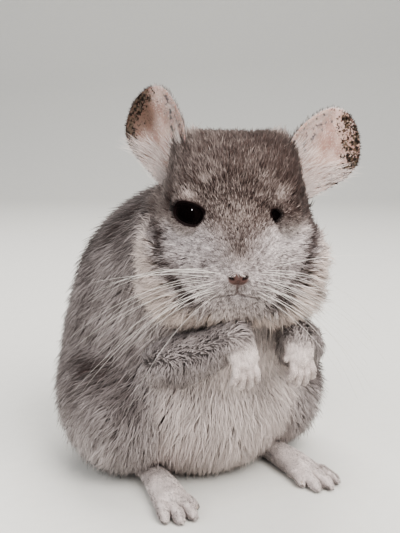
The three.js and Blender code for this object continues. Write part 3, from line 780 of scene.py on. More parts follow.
def ramp(tree, value, low, high):
    """0 at low, 1 at high and a smooth rise between."""
    made = node(tree, "ShaderNodeMapRange", {0: value, 1: low, 2: high}, interpolation_type="SMOOTHSTEP")
    return made.outputs[0]


def times(tree, a, b):
    return node(tree, "ShaderNodeMath", {0: a, 1: b}, operation="MULTIPLY").outputs[0]


def plus(tree, a, b):
    return node(tree, "ShaderNodeMath", {0: a, 1: b}, operation="ADD").outputs[0]


def carried(tree, key):
    """The number that the mesh carries for each of its points under this name."""
    return node(tree, "ShaderNodeAttribute", attribute_name=key).outputs["Fac"]


def grain(tree, size, detail=2.0, rough=0.5):
    """Noise with lumps of this size in millimetres, fixed to the model."""
    place = node(tree, "ShaderNodeTexCoord").outputs["Object"]
    settings = {"Vector": place, "Scale": 1 / (size * mm), "Detail": detail, "Roughness": rough}
    return node(tree, "ShaderNodeTexNoise", settings).outputs["Fac"]


# each hair is slate at its root, has a pale band and ends in a dark tip, which pale places have less of
agouti = bpy.data.node_groups.new("agouti_hair", "ShaderNodeTree")
for name in ("Pale", "Warm", "Along", "Chance"):
    agouti.interface.new_socket(name, in_out="INPUT", socket_type="NodeSocketFloat")
agouti.interface.new_socket("Colour", in_out="OUTPUT", socket_type="NodeSocketColor")
marks_in = agouti.nodes.new("NodeGroupInput").outputs
root = mixed(agouti, marks_in["Pale"], (0.030, 0.026, 0.028, 1), (0.30, 0.265, 0.25, 1))
band = mixed(agouti, marks_in["Pale"], (0.069, 0.050, 0.047, 1), (0.75, 0.68, 0.66, 1))
tip = mixed(agouti, marks_in["Pale"], (0.039, 0.029, 0.027, 1), (0.69, 0.62, 0.595, 1))
darker = ramp(agouti, marks_in["Pale"], 0.95, 0.55)
ticked = times(agouti, ramp(agouti, marks_in["Chance"], 0.72, 0.92), darker)
tip = mixed(agouti, ticked, tip, (0.018, 0.014, 0.012, 1))
shade = mixed(agouti, ramp(agouti, marks_in["Along"], 0.15, 0.5), root, band)
shade = mixed(agouti, ramp(agouti, marks_in["Along"], 0.62, 0.92), shade, tip)
not_white = ramp(agouti, marks_in["Pale"], 0.98, 0.80)
guard = times(agouti, ramp(agouti, marks_in["Chance"], 0.90, 0.93), not_white)
shade = mixed(agouti, times(agouti, guard, 0.55), shade, (0.035, 0.028, 0.025, 1))
warmth = mixed(agouti, marks_in["Warm"], (0.98, 1.0, 1.04, 1), (1.08, 0.99, 0.91, 1))
shade = mixed(agouti, 1.0, shade, warmth, "MULTIPLY")
# below a paleness of 0 the hair darkens towards black: on the lids, on blotched ear rims and in the fold by
# the right eye, whose dark is partly painted shade
deep = ramp(agouti, marks_in["Pale"], -0.25, -0.02)
lightness = node(agouti, "ShaderNodeMapRange", {0: marks_in["Chance"], 3: 0.82, 4: 1.14}).outputs[0]
lightness = times(agouti, lightness, plus(agouti, times(agouti, deep, 0.8), 0.2))
lightness = node(agouti, "ShaderNodeCombineColor", {0: lightness, 1: lightness, 2: lightness}).outputs[0]
shade = mixed(agouti, 1.0, shade, lightness, "MULTIPLY")
agouti.links.new(shade, agouti.nodes.new("NodeGroupOutput").inputs["Colour"])


def hair_colour(tree):
    """The hair's colour in a material, from the values that its mesh carries."""
    marks = node(tree, "ShaderNodeAttribute", attribute_name="marks")
    parts = node(tree, "ShaderNodeSeparateXYZ", {0: marks.outputs["Vector"]}).outputs
    along = carried(tree, "along")
    group = node(tree, "ShaderNodeGroup", node_tree=agouti)
    for name, source in (("Pale", parts[0]), ("Warm", parts[1]), ("Chance", parts[2]), ("Along", along)):
        tree.links.new(source, group.inputs[name])
    return group.outputs["Colour"]


def give_value(shape, key, value):
    """Gives each point of a mesh a number under this name."""
    layer = shape.data.attributes.new(key, "FLOAT", "POINT")
    layer.data.foreach_set("value", np.asarray(value, np.float32))


def give_marks(shape, pale, warm, chance, along):
    marks = shape.data.attributes.new("marks", "FLOAT_VECTOR", "POINT")
    marks.data.foreach_set("vector", np.stack((pale, warm, chance), axis=1).astype(np.float32).ravel())
    give_value(shape, "along", along)


skin_points = points_of(skin)
skin_normals = np.empty(len(skin_points) * 3, np.float32)
skin.data.vertex_normals.foreach_get("vector", skin_normals)
skin_normals = skin_normals.reshape(-1, 3).astype(float)
skin_pale, skin_warm = markings(skin_points, skin_normals)
skin_shares = shares(skin_points)
short_coat = skin_shares["forepaw"] + skin_shares["hind_foot"] + skin_shares["head"] * smooth(
    into_head(skin_points)[:, 1], -16, -34)
chances = np.random.default_rng(1).uniform(0.3, 0.7, len(skin_points))
give_marks(skin, skin_pale, skin_warm, chances, 0.22 + 0.3 * short_coat)
skin_head = into_head(skin_points)
# the dark lid rims, which are the skin's own colour, and painted shade inside the nostrils
dark_rims_and_nostril_shade = np.maximum.reduce([0.8 * smooth(to_nostril(skin_head), 1.1, 0.75)]
                              + [smooth(to_opening(skin_head, s), 1.15, 1.04) for s in both])
give_value(skin, "bare", np.maximum(bareness(skin_points), dark_rims_and_nostril_shade))
give_value(skin, "rim_and_nostril_shade", dark_rims_and_nostril_shade)

hide, hide_shader, hide_tree = new_material("skin_and_underfur")
bare_share = carried(hide_tree, "bare")
blush = grain(hide_tree, 1.6, 3.0)
pink = mixed(hide_tree, blush, (0.062, 0.034, 0.030, 1), (0.17, 0.096, 0.084, 1))
# near-black on the lid rims, their own colour, and inside the nostrils, painted shade
pink = mixed(hide_tree, carried(hide_tree, "rim_and_nostril_shade"), pink, (0.012, 0.006, 0.006, 1))
coloured = mixed(hide_tree, bare_share, hair_colour(hide_tree), pink)
hide_tree.links.new(coloured, hide_shader.inputs["Base Color"])
dampness = node(hide_tree, "ShaderNodeMapRange", {0: bare_share, 3: 0.85, 4: 0.42}).outputs[0]
hide_tree.links.new(dampness, hide_shader.inputs["Roughness"])
nap = grain(hide_tree, 0.5, 3.0)
relief = node(hide_tree, "ShaderNodeBump", {"Strength": 0.7, "Distance": 0.0005, "Height": nap})
hide_tree.links.new(relief.outputs["Normal"], hide_shader.inputs["Normal"])
skin.data.materials.append(hide)
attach(skin, "root")
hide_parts("head", "neck", "torso", "haunch_left", "haunch_right", "foreleg_left", "foreleg_right",
            "forepaw_left", "forepaw_right", "hind_foot_left", "hind_foot_right",
            "tail_root", "tail_middle", "tail_end")


# Eyes: large, wet balls behind the lids, almost black, with an iris that is hardly lighter than its pupil.
# The real ball stands a little out of the head, and its lids close on it all round.
eye_glass, eye_shader, eye_tree = new_material("eye_black")
pupil = carried(eye_tree, "toward_look")
iris = mixed(eye_tree, ramp(eye_tree, pupil, 0.80, 0.88), (0.006, 0.004, 0.004, 1), (0.003, 0.002, 0.002, 1))
eye_tree.links.new(iris, eye_shader.inputs["Base Color"])
eye_shader.inputs["Roughness"].default_value = 0.04
eye_shader.inputs["Specular IOR Level"].default_value = 0.5
eye_shader.inputs["Coat Weight"].default_value = 0.3
eye_shader.inputs["Coat Roughness"].default_value = 0.01


def round_ball(name, at, radius, rings=40, steps=64):
    """A smooth ball as rings of quads between two poles that are fans."""
    points, faces = [(0, 0, radius)], []
    for i in range(1, rings):
        down = math.pi * i / rings
        for k in range(steps):
            turn = 2 * math.pi * k / steps
            points.append((radius * math.sin(down) * math.cos(turn), radius * math.sin(down) * math.sin(turn),
                           radius * math.cos(down)))
    points.append((0, 0, -radius))
    for k in range(steps):
        after = (k + 1) % steps
        faces.append((0, 1 + k, 1 + after))
        for i in range(rings - 2):
            a, b = 1 + i * steps, 1 + (i + 1) * steps
            faces += [(a + k, b + k, b + after), (a + k, b + after, a + after)]
        last = 1 + (rings - 2) * steps
        faces.append((last + k, len(points) - 1, last + after))
    return arrays_to_object(name, out_of_head(np.array(points) + at), np.array(faces))


for s, side in ((1, "left"), (-1, "right")):
    eye = round_ball(f"eyeball_{side}", eye_at[s], eye_radius)
    toward = unit(into_head(points_of(eye)) - eye_at[s]) @ eye_axes(s)[0]
    give_value(eye, "toward_look", toward)
    eye.data.materials.append(eye_glass)
    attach(eye, "root")
    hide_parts(f"eye_{side}")


# Lid margins: the dark, damp rims of the lids, which lie on the ball all round its opening. Each is a ring
# of bare skin with no hair.
margin_thick, margin_steps = 0.62, 56
margin_reach = 7.0
rim_skin, rim_shader, rim_tree = new_material("lid_margin")
moist = grain(rim_tree, 1.0)
rim_tree.links.new(mixed(rim_tree, moist, (0.008, 0.006, 0.006, 1), (0.022, 0.016, 0.015, 1)),
                   rim_shader.inputs["Base Color"])
rim_shader.inputs["Roughness"].default_value = 0.45


def hose(line, radii, sides=8, closed=False):
    """A tube through places with a radius at each, closed in a ring or with an end cap at both ends."""
    line = np.asarray(line, float)
    ahead = np.roll(line, -1, 0) - np.roll(line, 1, 0) if closed else np.gradient(line, axis=0)
    ahead = unit(ahead)
    across = np.cross(ahead, (0.13, 0.22, 0.97))
    across = unit(across)
    up = np.cross(ahead, across)
    turn = 2 * np.pi * np.arange(sides) / sides
    ring = across[:, None] * np.cos(turn)[None, :, None] + up[:, None] * np.sin(turn)[None, :, None]
    points = (line[:, None] + ring * np.asarray(radii)[:, None, None]).reshape(-1, 3)
    faces = []
    count = len(line)
    for i in range(count if closed else count - 1):
        a, b = i * sides, (i + 1) % count * sides
        for k in range(sides):
            after = (k + 1) % sides
            faces += [(a + k, a + after, b + after), (a + k, b + after, b + k)]
    if not closed:
        points = np.concatenate((points, line[:1], line[-1:]))
        for k in range(sides):
            after = (k + 1) % sides
            faces.append((count * sides, after, k))
            faces.append((count * sides + 1, (count - 1) * sides + k, (count - 1) * sides + after))
    return points, np.array(faces)


def together(name, parts):
    """One mesh object out of several meshes given as points and faces."""
    points, faces, count = [], [], 0
    for part_points, part_faces in parts:
        points.append(part_points)
        faces.append(part_faces + count)
        count += len(part_points)
    return arrays_to_object(name, np.concatenate(points), np.concatenate(faces))


for s, side in ((1, "left"), (-1, "right")):
    look, across, up = eye_axes(s)
    wide, high, shifted, raised, rise, narrowing = lid_opening[s]
    turn = np.linspace(0, 2 * np.pi, margin_steps, endpoint=False)
    u = shifted + wide / 2 * np.cos(turn)
    v = raised + rise * wide / 2 * np.cos(turn) + high / 2 * (1 - narrowing * np.cos(turn)) * np.sin(turn)
    inward = np.minimum(1, margin_reach / np.hypot(u, v))
    u, v = s * u * inward, v * inward
    w = np.sqrt((eye_radius + 0.1) ** 2 - u**2 - v**2)
    line = eye_at[s] + u[:, None] * across + v[:, None] * up + w[:, None] * look
    ring = hose(out_of_head(line), np.full(margin_steps, margin_thick), closed=True)
    rim = together(f"lid_margin_{side}", [ring])
    rim.data.materials.append(rim_skin)
    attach(rim, "root")


# Coat: dense soft hair in fine tufts that lie back from the nose, down the body and along the limbs. Each
# tuft is a tapered three-sided blade, bent once towards the skin, and tufts that grow close together lean to
# a shared tip.
skin.data.calc_loop_triangles()
triangle_count = len(skin.data.loop_triangles)
triangle_corners = np.empty(triangle_count * 3, np.int32)
skin.data.loop_triangles.foreach_get("vertices", triangle_corners)
triangle_corners = triangle_corners.reshape(-1, 3)
triangle_loops = np.empty(triangle_count * 3, np.int32)
skin.data.loop_triangles.foreach_get("loops", triangle_loops)
skin_map = np.empty(len(skin.data.loops) * 2, np.float32)
skin.data.uv_layers["OFBake"].uv.foreach_get("vector", skin_map)
triangle_map = skin_map.reshape(-1, 2)[triangle_loops].reshape(-1, 3, 2)
triangle_places = skin_points[triangle_corners]
triangle_areas = np.linalg.norm(np.cross(
    triangle_places[:, 1] - triangle_places[:, 0], triangle_places[:, 2] - triangle_places[:, 0]), axis=1) / 2
triangle_middles = triangle_places.mean(axis=1)


def sown(density, seed):
    """Roots on the skin with so many to a square millimetre of each triangle: places, normals, map places."""
    draw = np.random.default_rng(seed)
    wanted = triangle_areas * density
    count = int(wanted.sum())
    picked = np.searchsorted(np.cumsum(wanted) / wanted.sum(), draw.random(count))
    picked = np.minimum(picked, triangle_count - 1)
    a, b = draw.random(count), draw.random(count)
    flip = a + b > 1
    a[flip], b[flip] = 1 - a[flip], 1 - b[flip]
    weight = np.stack((1 - a - b, a, b), axis=1)[:, :, None]
    places = (triangle_places[picked] * weight).sum(1)
    normals = unit((skin_normals[triangle_corners[picked]] * weight).sum(1))
    return places, normals, (triangle_map[picked] * weight).sum(1)


def tail_share(p):
    """Where along the tail each place is, from 0 to 1, and which way the tail runs there."""
    nearest = np.empty(len(p), int)
    for start in range(0, len(p), 4000):
        gap = p[start:start + 4000, None] - tail_line[None]
        nearest[start:start + 4000] = (gap**2).sum(2).argmin(1)
    return nearest / len(tail_line), tail_ahead[nearest]


def lie_of_coat(p, normal):
    """The way the hair runs over the skin: back from the nose, down the body, along limbs, feet and tail."""
    part = shares(p)
    q = into_head(p)
    from_nose = q - (0, -44, -8)
    from_nose[:, 2] -= 0.25 * np.abs(q[:, 0])
    head_way = unit(from_nose)
    for s in both:
        away = q - eye_at[s]
        head_way += 1.1 * smooth(np.linalg.norm(away, axis=1), 12.5, 8.5)[:, None] * unit(away)
    head_way = unit(head_way) @ head_frame.T
    down = unit(np.array((0, 0.42, -1)))
    spread = np.stack((0.006 * p[:, 0], 0 * p[:, 1], 0 * p[:, 2]), axis=1)
    is_right = (p[:, 0] < 0).astype(int)
    leg = np.stack([wrist[1] - elbow[1], wrist[-1] - elbow[-1]])[is_right]
    leg_share = ((p - np.stack([elbow[1], elbow[-1]])[is_right]) * leg).sum(1) / (leg**2).sum(1)
    on_top = smooth(normal[:, 2:], -0.2, 0.6)
    along_leg = unit(leg) * (on_top + 0.3 * smooth(leg_share, 0.05, 0.5)[:, None])
    out = {
        "head": head_way,
        "trunk": unit(down + spread + 0.35 * np.array((0, 1, 0)) * smooth(p[:, 1:2], 0, 40)),
        "foreleg": unit(down * (1 - on_top) + along_leg),
        "forepaw": np.tile((0, -0.25, -1.0), (len(p), 1)),
        "hind_foot": np.tile((0, -1.0, -0.1), (len(p), 1)),
        "tail": tail_share(p)[1],
    }
    way = sum(part[name][:, None] * out[name] for name in part)
    way -= (way * normal).sum(1, keepdims=True) * normal
    return unit(way), part


tuft_corners = np.array([(0, 4, 1), (0, 3, 4), (1, 5, 2), (1, 4, 5), (2, 3, 0), (2, 5, 3),
                         (3, 6, 4), (4, 6, 5), (5, 6, 3)])
tuft_along = np.array((0, 0, 0, 0.55, 0.55, 0.55, 1))
map_reach = 0.0015
patch_angle = 2 * np.pi * np.arange(3) / 3
patch_ring = np.stack((np.cos(patch_angle), np.sin(patch_angle)), axis=1)
patch_places = np.concatenate((patch_ring, 0.5 * patch_ring, ((0, 0),))) * map_reach
tuft_sunk, foot_share = 0.4, 0.8
# the light falls on a tuft mostly as it falls on the coat as a whole
own_share = 0.35


def tufts(name, roots, normals, lie, long, wide, lift, map_places, marks, material, seed, bend=0.3):
    """A piece of the coat: one tuft to each root, with its length, width and lift in radians."""
    draw = np.random.default_rng(seed)
    count = len(roots)
    side = np.cross(normals, lie)
    steep, flat = np.clip(lift + bend, 0.05, 1.5)[:, None], np.clip(lift - bend, 0.02, 1.5)[:, None]
    sway = draw.normal(0, 0.12, (count, 1))
    first = np.cos(steep) * (lie + sway * side) + np.sin(steep) * normals
    second = np.cos(flat) * (lie + (sway + draw.normal(0, 0.2, (count, 1))) * side) + np.sin(flat) * normals
    half = long[:, None] / 2
    knee = roots + half * unit(first)
    end = knee + half * unit(second)
    base = roots - tuft_sunk * normals
    turn = (draw.uniform(0, 2 * np.pi, count)[:, None] + patch_angle[None])[:, :, None]
    spoke = side[:, None] * np.cos(turn) + np.cross(side, unit(first))[:, None] * np.sin(turn)
    radius = wide[:, None, None] / 2
    points = np.concatenate((
        base[:, None] + foot_share * radius * spoke, knee[:, None] + radius * spoke, end[:, None]), axis=1)
    points[:, :, 2] = np.maximum(points[:, :, 2], floor_gap)
    own = np.concatenate((spoke, spoke, unit(second)[:, None]), axis=1)
    shaded = unit(own_share * own + (1 - own_share) * normals[:, None]).reshape(-1, 3)
    per_tuft = len(tuft_along)
    faces = (tuft_corners[None] + per_tuft * np.arange(count)[:, None, None]).reshape(-1, 3)
    piece = arrays_to_object(name, points.reshape(-1, 3), faces)
    piece.data.normals_split_custom_set_from_vertices(shaded)
    pale, warm, chance = (np.repeat(m, per_tuft) for m in marks)
    give_marks(piece, pale, warm, chance, np.tile(tuft_along, count))
    layer = piece.data.uv_layers.new(name="OFBake")
    places = (map_places[:, None] + patch_places[None]).reshape(-1, 2)
    layer.uv.foreach_set("vector", places[faces].astype(np.float32).ravel())
    piece.data.materials.append(material)
    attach(piece, "root")


def clumped(roots, lie, normals, size, pull, seed):
    """The lie turned so that tufts of one small patch of skin lean towards the middle of their tips."""
    draw = np.random.default_rng(seed)
    shift = np.stack([ripple(roots, size * 1.3, seed + k) for k in range(3)], 1)
    cell = np.floor((roots + size * 0.35 * shift) / size).astype(np.int64)
    key = (cell[:, 0] * 4096 + cell[:, 1]) * 4096 + cell[:, 2]
    _, group = np.unique(key, return_inverse=True)
    total = np.bincount(group)
    middle = np.stack([np.bincount(group, roots[:, k]) / total for k in range(3)], axis=1)
    way = lie + pull * (middle[group] - roots) / size
    wander = draw.normal(0, 0.11, (len(total), 3))
    way = way + wander[group]
    way -= (way * normals).sum(1, keepdims=True) * normals
    return unit(way), draw.normal(0, 1, len(total))[group]


coat_hair, coat_shader, coat_tree = new_material("agouti_coat")
coat_tree.links.new(hair_colour(coat_tree), coat_shader.inputs["Base Color"])
coat_shader.inputs["Roughness"].default_value = 0.62
coat_shader.inputs["Specular IOR Level"].default_value = 0.15
coat_shader.inputs["Sheen Weight"].default_value = 0.06
coat_shader.inputs["Sheen Roughness"].default_value = 0.4

thin = 1.0
middle_shares = shares(triangle_middles)
middle_head = into_head(triangle_middles)
middle_normals = unit(np.cross(triangle_places[:, 1] - triangle_places[:, 0],
                               triangle_places[:, 2] - triangle_places[:, 0]))
face_density = 3.9 + 2.9 * smooth(middle_head[:, 1], -18, -36)
under_body = smooth(middle_normals[:, 2], -0.8, -0.95) * smooth(triangle_middles[:, 2], 14, 4)
density = (
    middle_shares["head"] * face_density
    + middle_shares["trunk"] * 1.42 * (1 - 0.8 * under_body)
    + middle_shares["foreleg"] * 2.2
    + middle_shares["forepaw"] * 4.0
    + middle_shares["hind_foot"] * 2.6 * smooth(triangle_middles[:, 2], 0.6, 1.6)
    + middle_shares["tail"] * 1.7
)
roots, normals, map_places = sown(density * thin, 11)
lie, part = lie_of_coat(roots, normals)
root_head = into_head(roots)
is_bare = bareness(roots)
draw = np.random.default_rng(12)
keep = (is_bare < draw.uniform(0.35, 0.95, len(roots))) & (to_nostril(root_head) > 1.15)
keep &= ~((to_lip_line(root_head) < 0.45) & (root_head[:, 1] < -33))
for s in both:
    keep &= to_opening(root_head, s) > 1.07
roots, normals, map_places, lie = roots[keep], normals[keep], map_places[keep], lie[keep]
part = {name: share[keep] for name, share in part.items()}
root_head = root_head[keep]
count = len(roots)

x, y, z = np.abs(root_head[:, 0]), root_head[:, 1], root_head[:, 2]
back_of_face = smooth(y, -34, -8)
beyond_mask = to_mask_line(root_head)
cheek = smooth(beyond_mask, -1.5, 2.5) * smooth(z, 2, -10)
chin = smooth(z, -17, -25) * smooth(y, -42, -30)
snout = smooth(y, -30, -40)
head_long = 3.2 + 3.2 * back_of_face - 1.3 * snout + 8.5 * np.maximum(0.6 * cheek, chin)
near_lids = np.minimum(*[np.linalg.norm(root_head - eye_at[s], axis=1) for s in both])
head_long -= 1.9 * smooth(near_lids, 12, 8.5)
head_deep = head_depth(root_head) + 2.6 * np.maximum(0.5 * cheek, chin)
before_ears = np.minimum(*[np.linalg.norm(root_head - (s * 20, 6, 28), axis=1) for s in both])
at_lobes = np.minimum(*[np.linalg.norm(root_head - (s * 25, 4, 3), axis=1) for s in both])
at_lobes = smooth(at_lobes, 10, 4)
before_ears = np.maximum(smooth(before_ears, 9, 4), at_lobes)
head_long += 3.5 * before_ears + 2.5 * at_lobes
bib = smooth(-roots[:, 1], 30, 62) * smooth(roots[:, 2], 60, 80)
tail_at, _ = tail_share(roots)
tail_deep = tail_spread(tail_at) / 4
longs = {"head": head_long, "trunk": 13.0 + 2 * bib, "foreleg": 6.5, "forepaw": 1.1, "hind_foot": 2.3,
         "tail": 10 + 16 * smooth(tail_at, 0.03, 0.5)}
deeps = {"head": head_deep, "trunk": trunk_depth, "foreleg": 2.8, "forepaw": 0.35, "hind_foot": 0.6,
         "tail": tail_deep}
wides = {"head": 0.27 + 0.1 * back_of_face, "trunk": 0.5, "foreleg": 0.4, "forepaw": 0.26, "hind_foot": 0.34,
         "tail": 0.55}
long = sum(part[name] * longs[name] for name in part) * draw.uniform(0.78, 1.15, count)
deep = sum(part[name] * deeps[name] for name in part)
wide = sum(part[name] * wides[name] for name in part) * draw.uniform(0.75, 1.2, count)
fringe = np.maximum(0.6 * cheek, chin) * part["head"]
guard_hair = draw.random(count) < 0.10
long = long * np.where(guard_hair, 1.25, 1.0)
lift = np.arcsin(np.clip(deep / long, 0.08, 0.85)) * draw.normal(1.0, 0.16, count)
fluffed = np.maximum(fringe, before_ears * part["head"]) * draw.uniform(0.3, 1.4, count)
lift += 0.3 * fluffed + 0.1 * part["head"] * back_of_face + 0.12 * guard_hair
sleek_face = part["head"] * (1 - np.maximum(cheek, chin))
pull = 0.9 * (1 - sleek_face - 0.5 * part["tail"]) + 0.8 * chin * part["head"]
beard_clump, coat_clump = 3.4, 6.5
small_lie, small_shade = clumped(roots, lie, normals, beard_clump, 0.75, 24)
lie, clump_shade = clumped(roots, lie, normals, coat_clump, 0.31 * np.clip(pull, 0.15, 2)[:, None], 20)
in_beard = fringe > 0.3
lie[in_beard], clump_shade[in_beard] = small_lie[in_beard], small_shade[in_beard]
pale, warm = markings(roots, normals)
pale += clump_shade * (0.05 + 0.13 * fringe) * np.clip(pale * 3, 0, 1)
chance = draw.random(count)
speckle = 0.05 + 0.09 * part["head"] * smooth(y, -14, -34)
marks = (np.clip(pale + draw.normal(0, 1, count) * speckle, -0.3, 1), warm, chance)

on_head = part["head"] > 0.5
on_tail = part["tail"] > 0.5
on_paws = (part["forepaw"] + part["hind_foot"]) > 0.5
on_trunk = ~(on_head | on_tail | on_paws)
right_half = roots[:, 0] < 0
head_right = root_head[:, 0] < 0
front = roots[:, 1] < -34
lower = roots[:, 2] < 55
coat_pieces = {
    "coat_face_left": (on_head & ~head_right & (y < -16), "grey_coat"),
    "coat_face_right": (on_head & head_right & (y < -16), "grey_coat"),
    "coat_crown_left": (on_head & ~head_right & (y >= -16), "grey_coat"),
    "coat_crown_right": (on_head & head_right & (y >= -16), "grey_coat"),
    "coat_chest": (on_trunk & front & ~lower, "grey_coat"),
    "coat_belly": (on_trunk & front & lower, "grey_coat"),
    "coat_shoulder_left": (on_trunk & ~front & ~lower & ~right_half, "grey_coat"),
    "coat_shoulder_right": (on_trunk & ~front & ~lower & right_half, "grey_coat"),
    "coat_haunch_left": (on_trunk & ~front & lower & ~right_half, "grey_coat"),
    "coat_haunch_right": (on_trunk & ~front & lower & right_half, "grey_coat"),
    "coat_feet": (on_paws, "pale_coat"),
    "coat_tail": (on_tail, "tail_coat"),
}
for order, (name, (chosen, slot)) in enumerate(coat_pieces.items()):
    tufts(name, roots[chosen], normals[chosen], lie[chosen], long[chosen], wide[chosen], lift[chosen],
          map_places[chosen], [m[chosen] for m in marks], coat_hair, 100 + order)


# Ears: large thin sheets of pink skin, each curled into a cup, with a folded inner rim, brown-black blotches
# along the outer rim, fine white hairs that fan out of the cup and short grey fur on the back.
ear_long, ear_wide, ear_sunk = 46, 39, 6
ear_set = {1: ((0.325 * head_width, 9, 4.5), 35, 10), -1: ((0.325 * head_width, 9, 8), 18, 34)}
ear_back = math.radians(12)
ear_whole = ear_long + ear_sunk
ear_rings, ear_steps = 26, 110
tip_curl, root_curl = 42, 13.5


def ear_sheet(a, h, s):
    """Places on the middle of the sheet of an ear: a millimetres round the curl, h millimetres up it."""
    at, lean, facing = ear_set[s]
    lean, facing = math.radians(lean), math.radians(facing)
    up = unit(np.array((math.sin(lean), math.sin(ear_back), math.cos(lean))))
    opens = np.array((math.sin(facing), -math.cos(facing), 0))
    opens = unit(opens - opens @ up * up)
    across = np.cross(opens, up)
    share = np.clip(h / ear_whole, 0, 1)
    curl = 1 / tip_curl + (1 / root_curl - 1 / tip_curl) * (1 - share) ** 2 + 0.010 * (a > 0)
    places = (
        np.array(at) - ear_sunk * up
        + across * (np.sin(a * curl) / curl)[:, None]
        + opens * ((1 - np.cos(a * curl)) / curl - 4 * share**2)[:, None]
        + up * np.asarray(h)[:, None]
    )
    return places * (s, 1, 1)


def ear_face(a, h, s):
    """Places on the sheet and the ways out of its cup there."""
    over_a = ear_sheet(a + 0.05, h, s) - ear_sheet(a - 0.05, h, s)
    over_h = ear_sheet(a, h + 0.05, s) - ear_sheet(a, h - 0.05, s)
    return ear_sheet(a, h, s), unit(np.cross(over_h, over_a)) * s


def ear_place(size, turn):
    """The millimetres round the curl and up the ear for a share of the way to the rim and a turn round it."""
    h = ear_whole * (0.5 - 0.5 * np.cos(turn) * size)
    outer_full = 0.42 + 0.55 * smooth(h / ear_whole, 0.12, 0.78)
    inner_full = 1.12 - 0.28 * smooth(h / ear_whole, 0.4, 0.9)
    full = np.where(np.sin(turn) > 0, inner_full, outer_full)
    return ear_wide / 2 * np.sin(turn) * size * full, h


def ear_relief(a, h, size):
    """How far the cup side stands out of the sheet: a rolled rim, a rib by the inner fold, soft ribs."""
    share = h / ear_whole
    rib = 0.8 * np.exp(-(((a - 0.3 * ear_wide * (0.5 + 0.5 * share)) / 2.2) ** 2)) * smooth(share, 0.75, 0.3)
    soft = 0.22 * np.sin(a * 0.75 + 2 * share) * smooth(share, 0.7, 0.2)
    return (rib + soft + 0.35 * smooth(size, 0.86, 1.0)) * smooth(size, 1.02, 0.9)


def mottling(size, a, h, s):
    """Where the ear is blotched: most on the outer rim near the tip, some along the rest of the rim."""
    share = h / ear_whole
    rim = smooth(size, 0.34 if s > 0 else 0.55, 0.92)
    outer = smooth(-a / ear_wide, -0.14, 0.1)
    heavy = smooth(share, 0.18 if s > 0 else 0.34, 0.50) * outer * smooth(share, 1.10, 0.96)
    light = 0.62 * smooth(size, 0.80, 0.98) * (0.35 + 0.65 * outer)
    return np.maximum(rim * heavy, light)


def ashing(size, a, h):
    """Where the cup has grey spots: on the inner side, towards the tip."""
    share = h / ear_whole
    return smooth(a / ear_wide, 0.02, 0.2) * smooth(share, 0.35, 0.55) * smooth(size, 1.0, 0.9)


def brown_and_cup_shade(a, h, s):
    """Where the cup is brown and thinly haired, partly the skin's own brown and partly painted shade deep in
    the cup: towards the tip of the right ear, a little on the left.
    """
    share = h / ear_whole
    return (0.2 if s > 0 else 1.0) * smooth(share, 0.46, 0.78) * smooth(-a / ear_wide, -0.12, 0.12)


ear_hide, ear_shader, ear_tree = new_material("ear_skin")
blotch = plus(ear_tree, grain(ear_tree, 3.0, 5.0, 0.62), times(ear_tree, grain(ear_tree, 0.9), 0.75))
blotch = plus(ear_tree, blotch, times(ear_tree, carried(ear_tree, "mottle"), 0.34))
dark = ramp(ear_tree, blotch, 1.07, 1.17)
ash = carried(ear_tree, "ash")
spots = plus(ear_tree, grain(ear_tree, 2.3, 2.0, 0.6), times(ear_tree, ash, 0.2))
vein = ramp(ear_tree, grain(ear_tree, 7.0, 3.0), 0.35, 0.65)
rosy = mixed(ear_tree, vein, (0.33, 0.205, 0.17, 1), (0.49, 0.36, 0.32, 1))
# brown in the cup towards the tip: partly the skin's own brown, partly painted shade
rosy = mixed(ear_tree, times(ear_tree, carried(ear_tree, "brown"), 0.92), rosy, (0.11, 0.063, 0.045, 1))
rosy = mixed(ear_tree, times(ear_tree, ash, 0.45), rosy, (0.30, 0.255, 0.24, 1))
rosy = mixed(ear_tree, ramp(ear_tree, spots, 0.72, 0.82), rosy, (0.12, 0.10, 0.098, 1))
rosy = mixed(ear_tree, carried(ear_tree, "cup"), (0.30, 0.22, 0.20, 1), rosy)
sooty = ramp(ear_tree, grain(ear_tree, 1.6, 3.0), 0.4, 0.62)
soot = mixed(ear_tree, sooty, (0.010, 0.007, 0.005, 1), (0.10, 0.07, 0.05, 1))
ear_tree.links.new(mixed(ear_tree, dark, rosy, soot), ear_shader.inputs["Base Color"])
ear_shader.inputs["Roughness"].default_value = 0.55
ear_shader.inputs["Subsurface Weight"].default_value = 0.25
ear_shader.inputs["Subsurface Scale"].default_value = 0.0007
pores = grain(ear_tree, 0.7, 3.0)
pored = node(ear_tree, "ShaderNodeBump", {"Strength": 0.35, "Distance": 0.0003, "Height": pores})
ear_tree.links.new(pored.outputs["Normal"], ear_shader.inputs["Normal"])

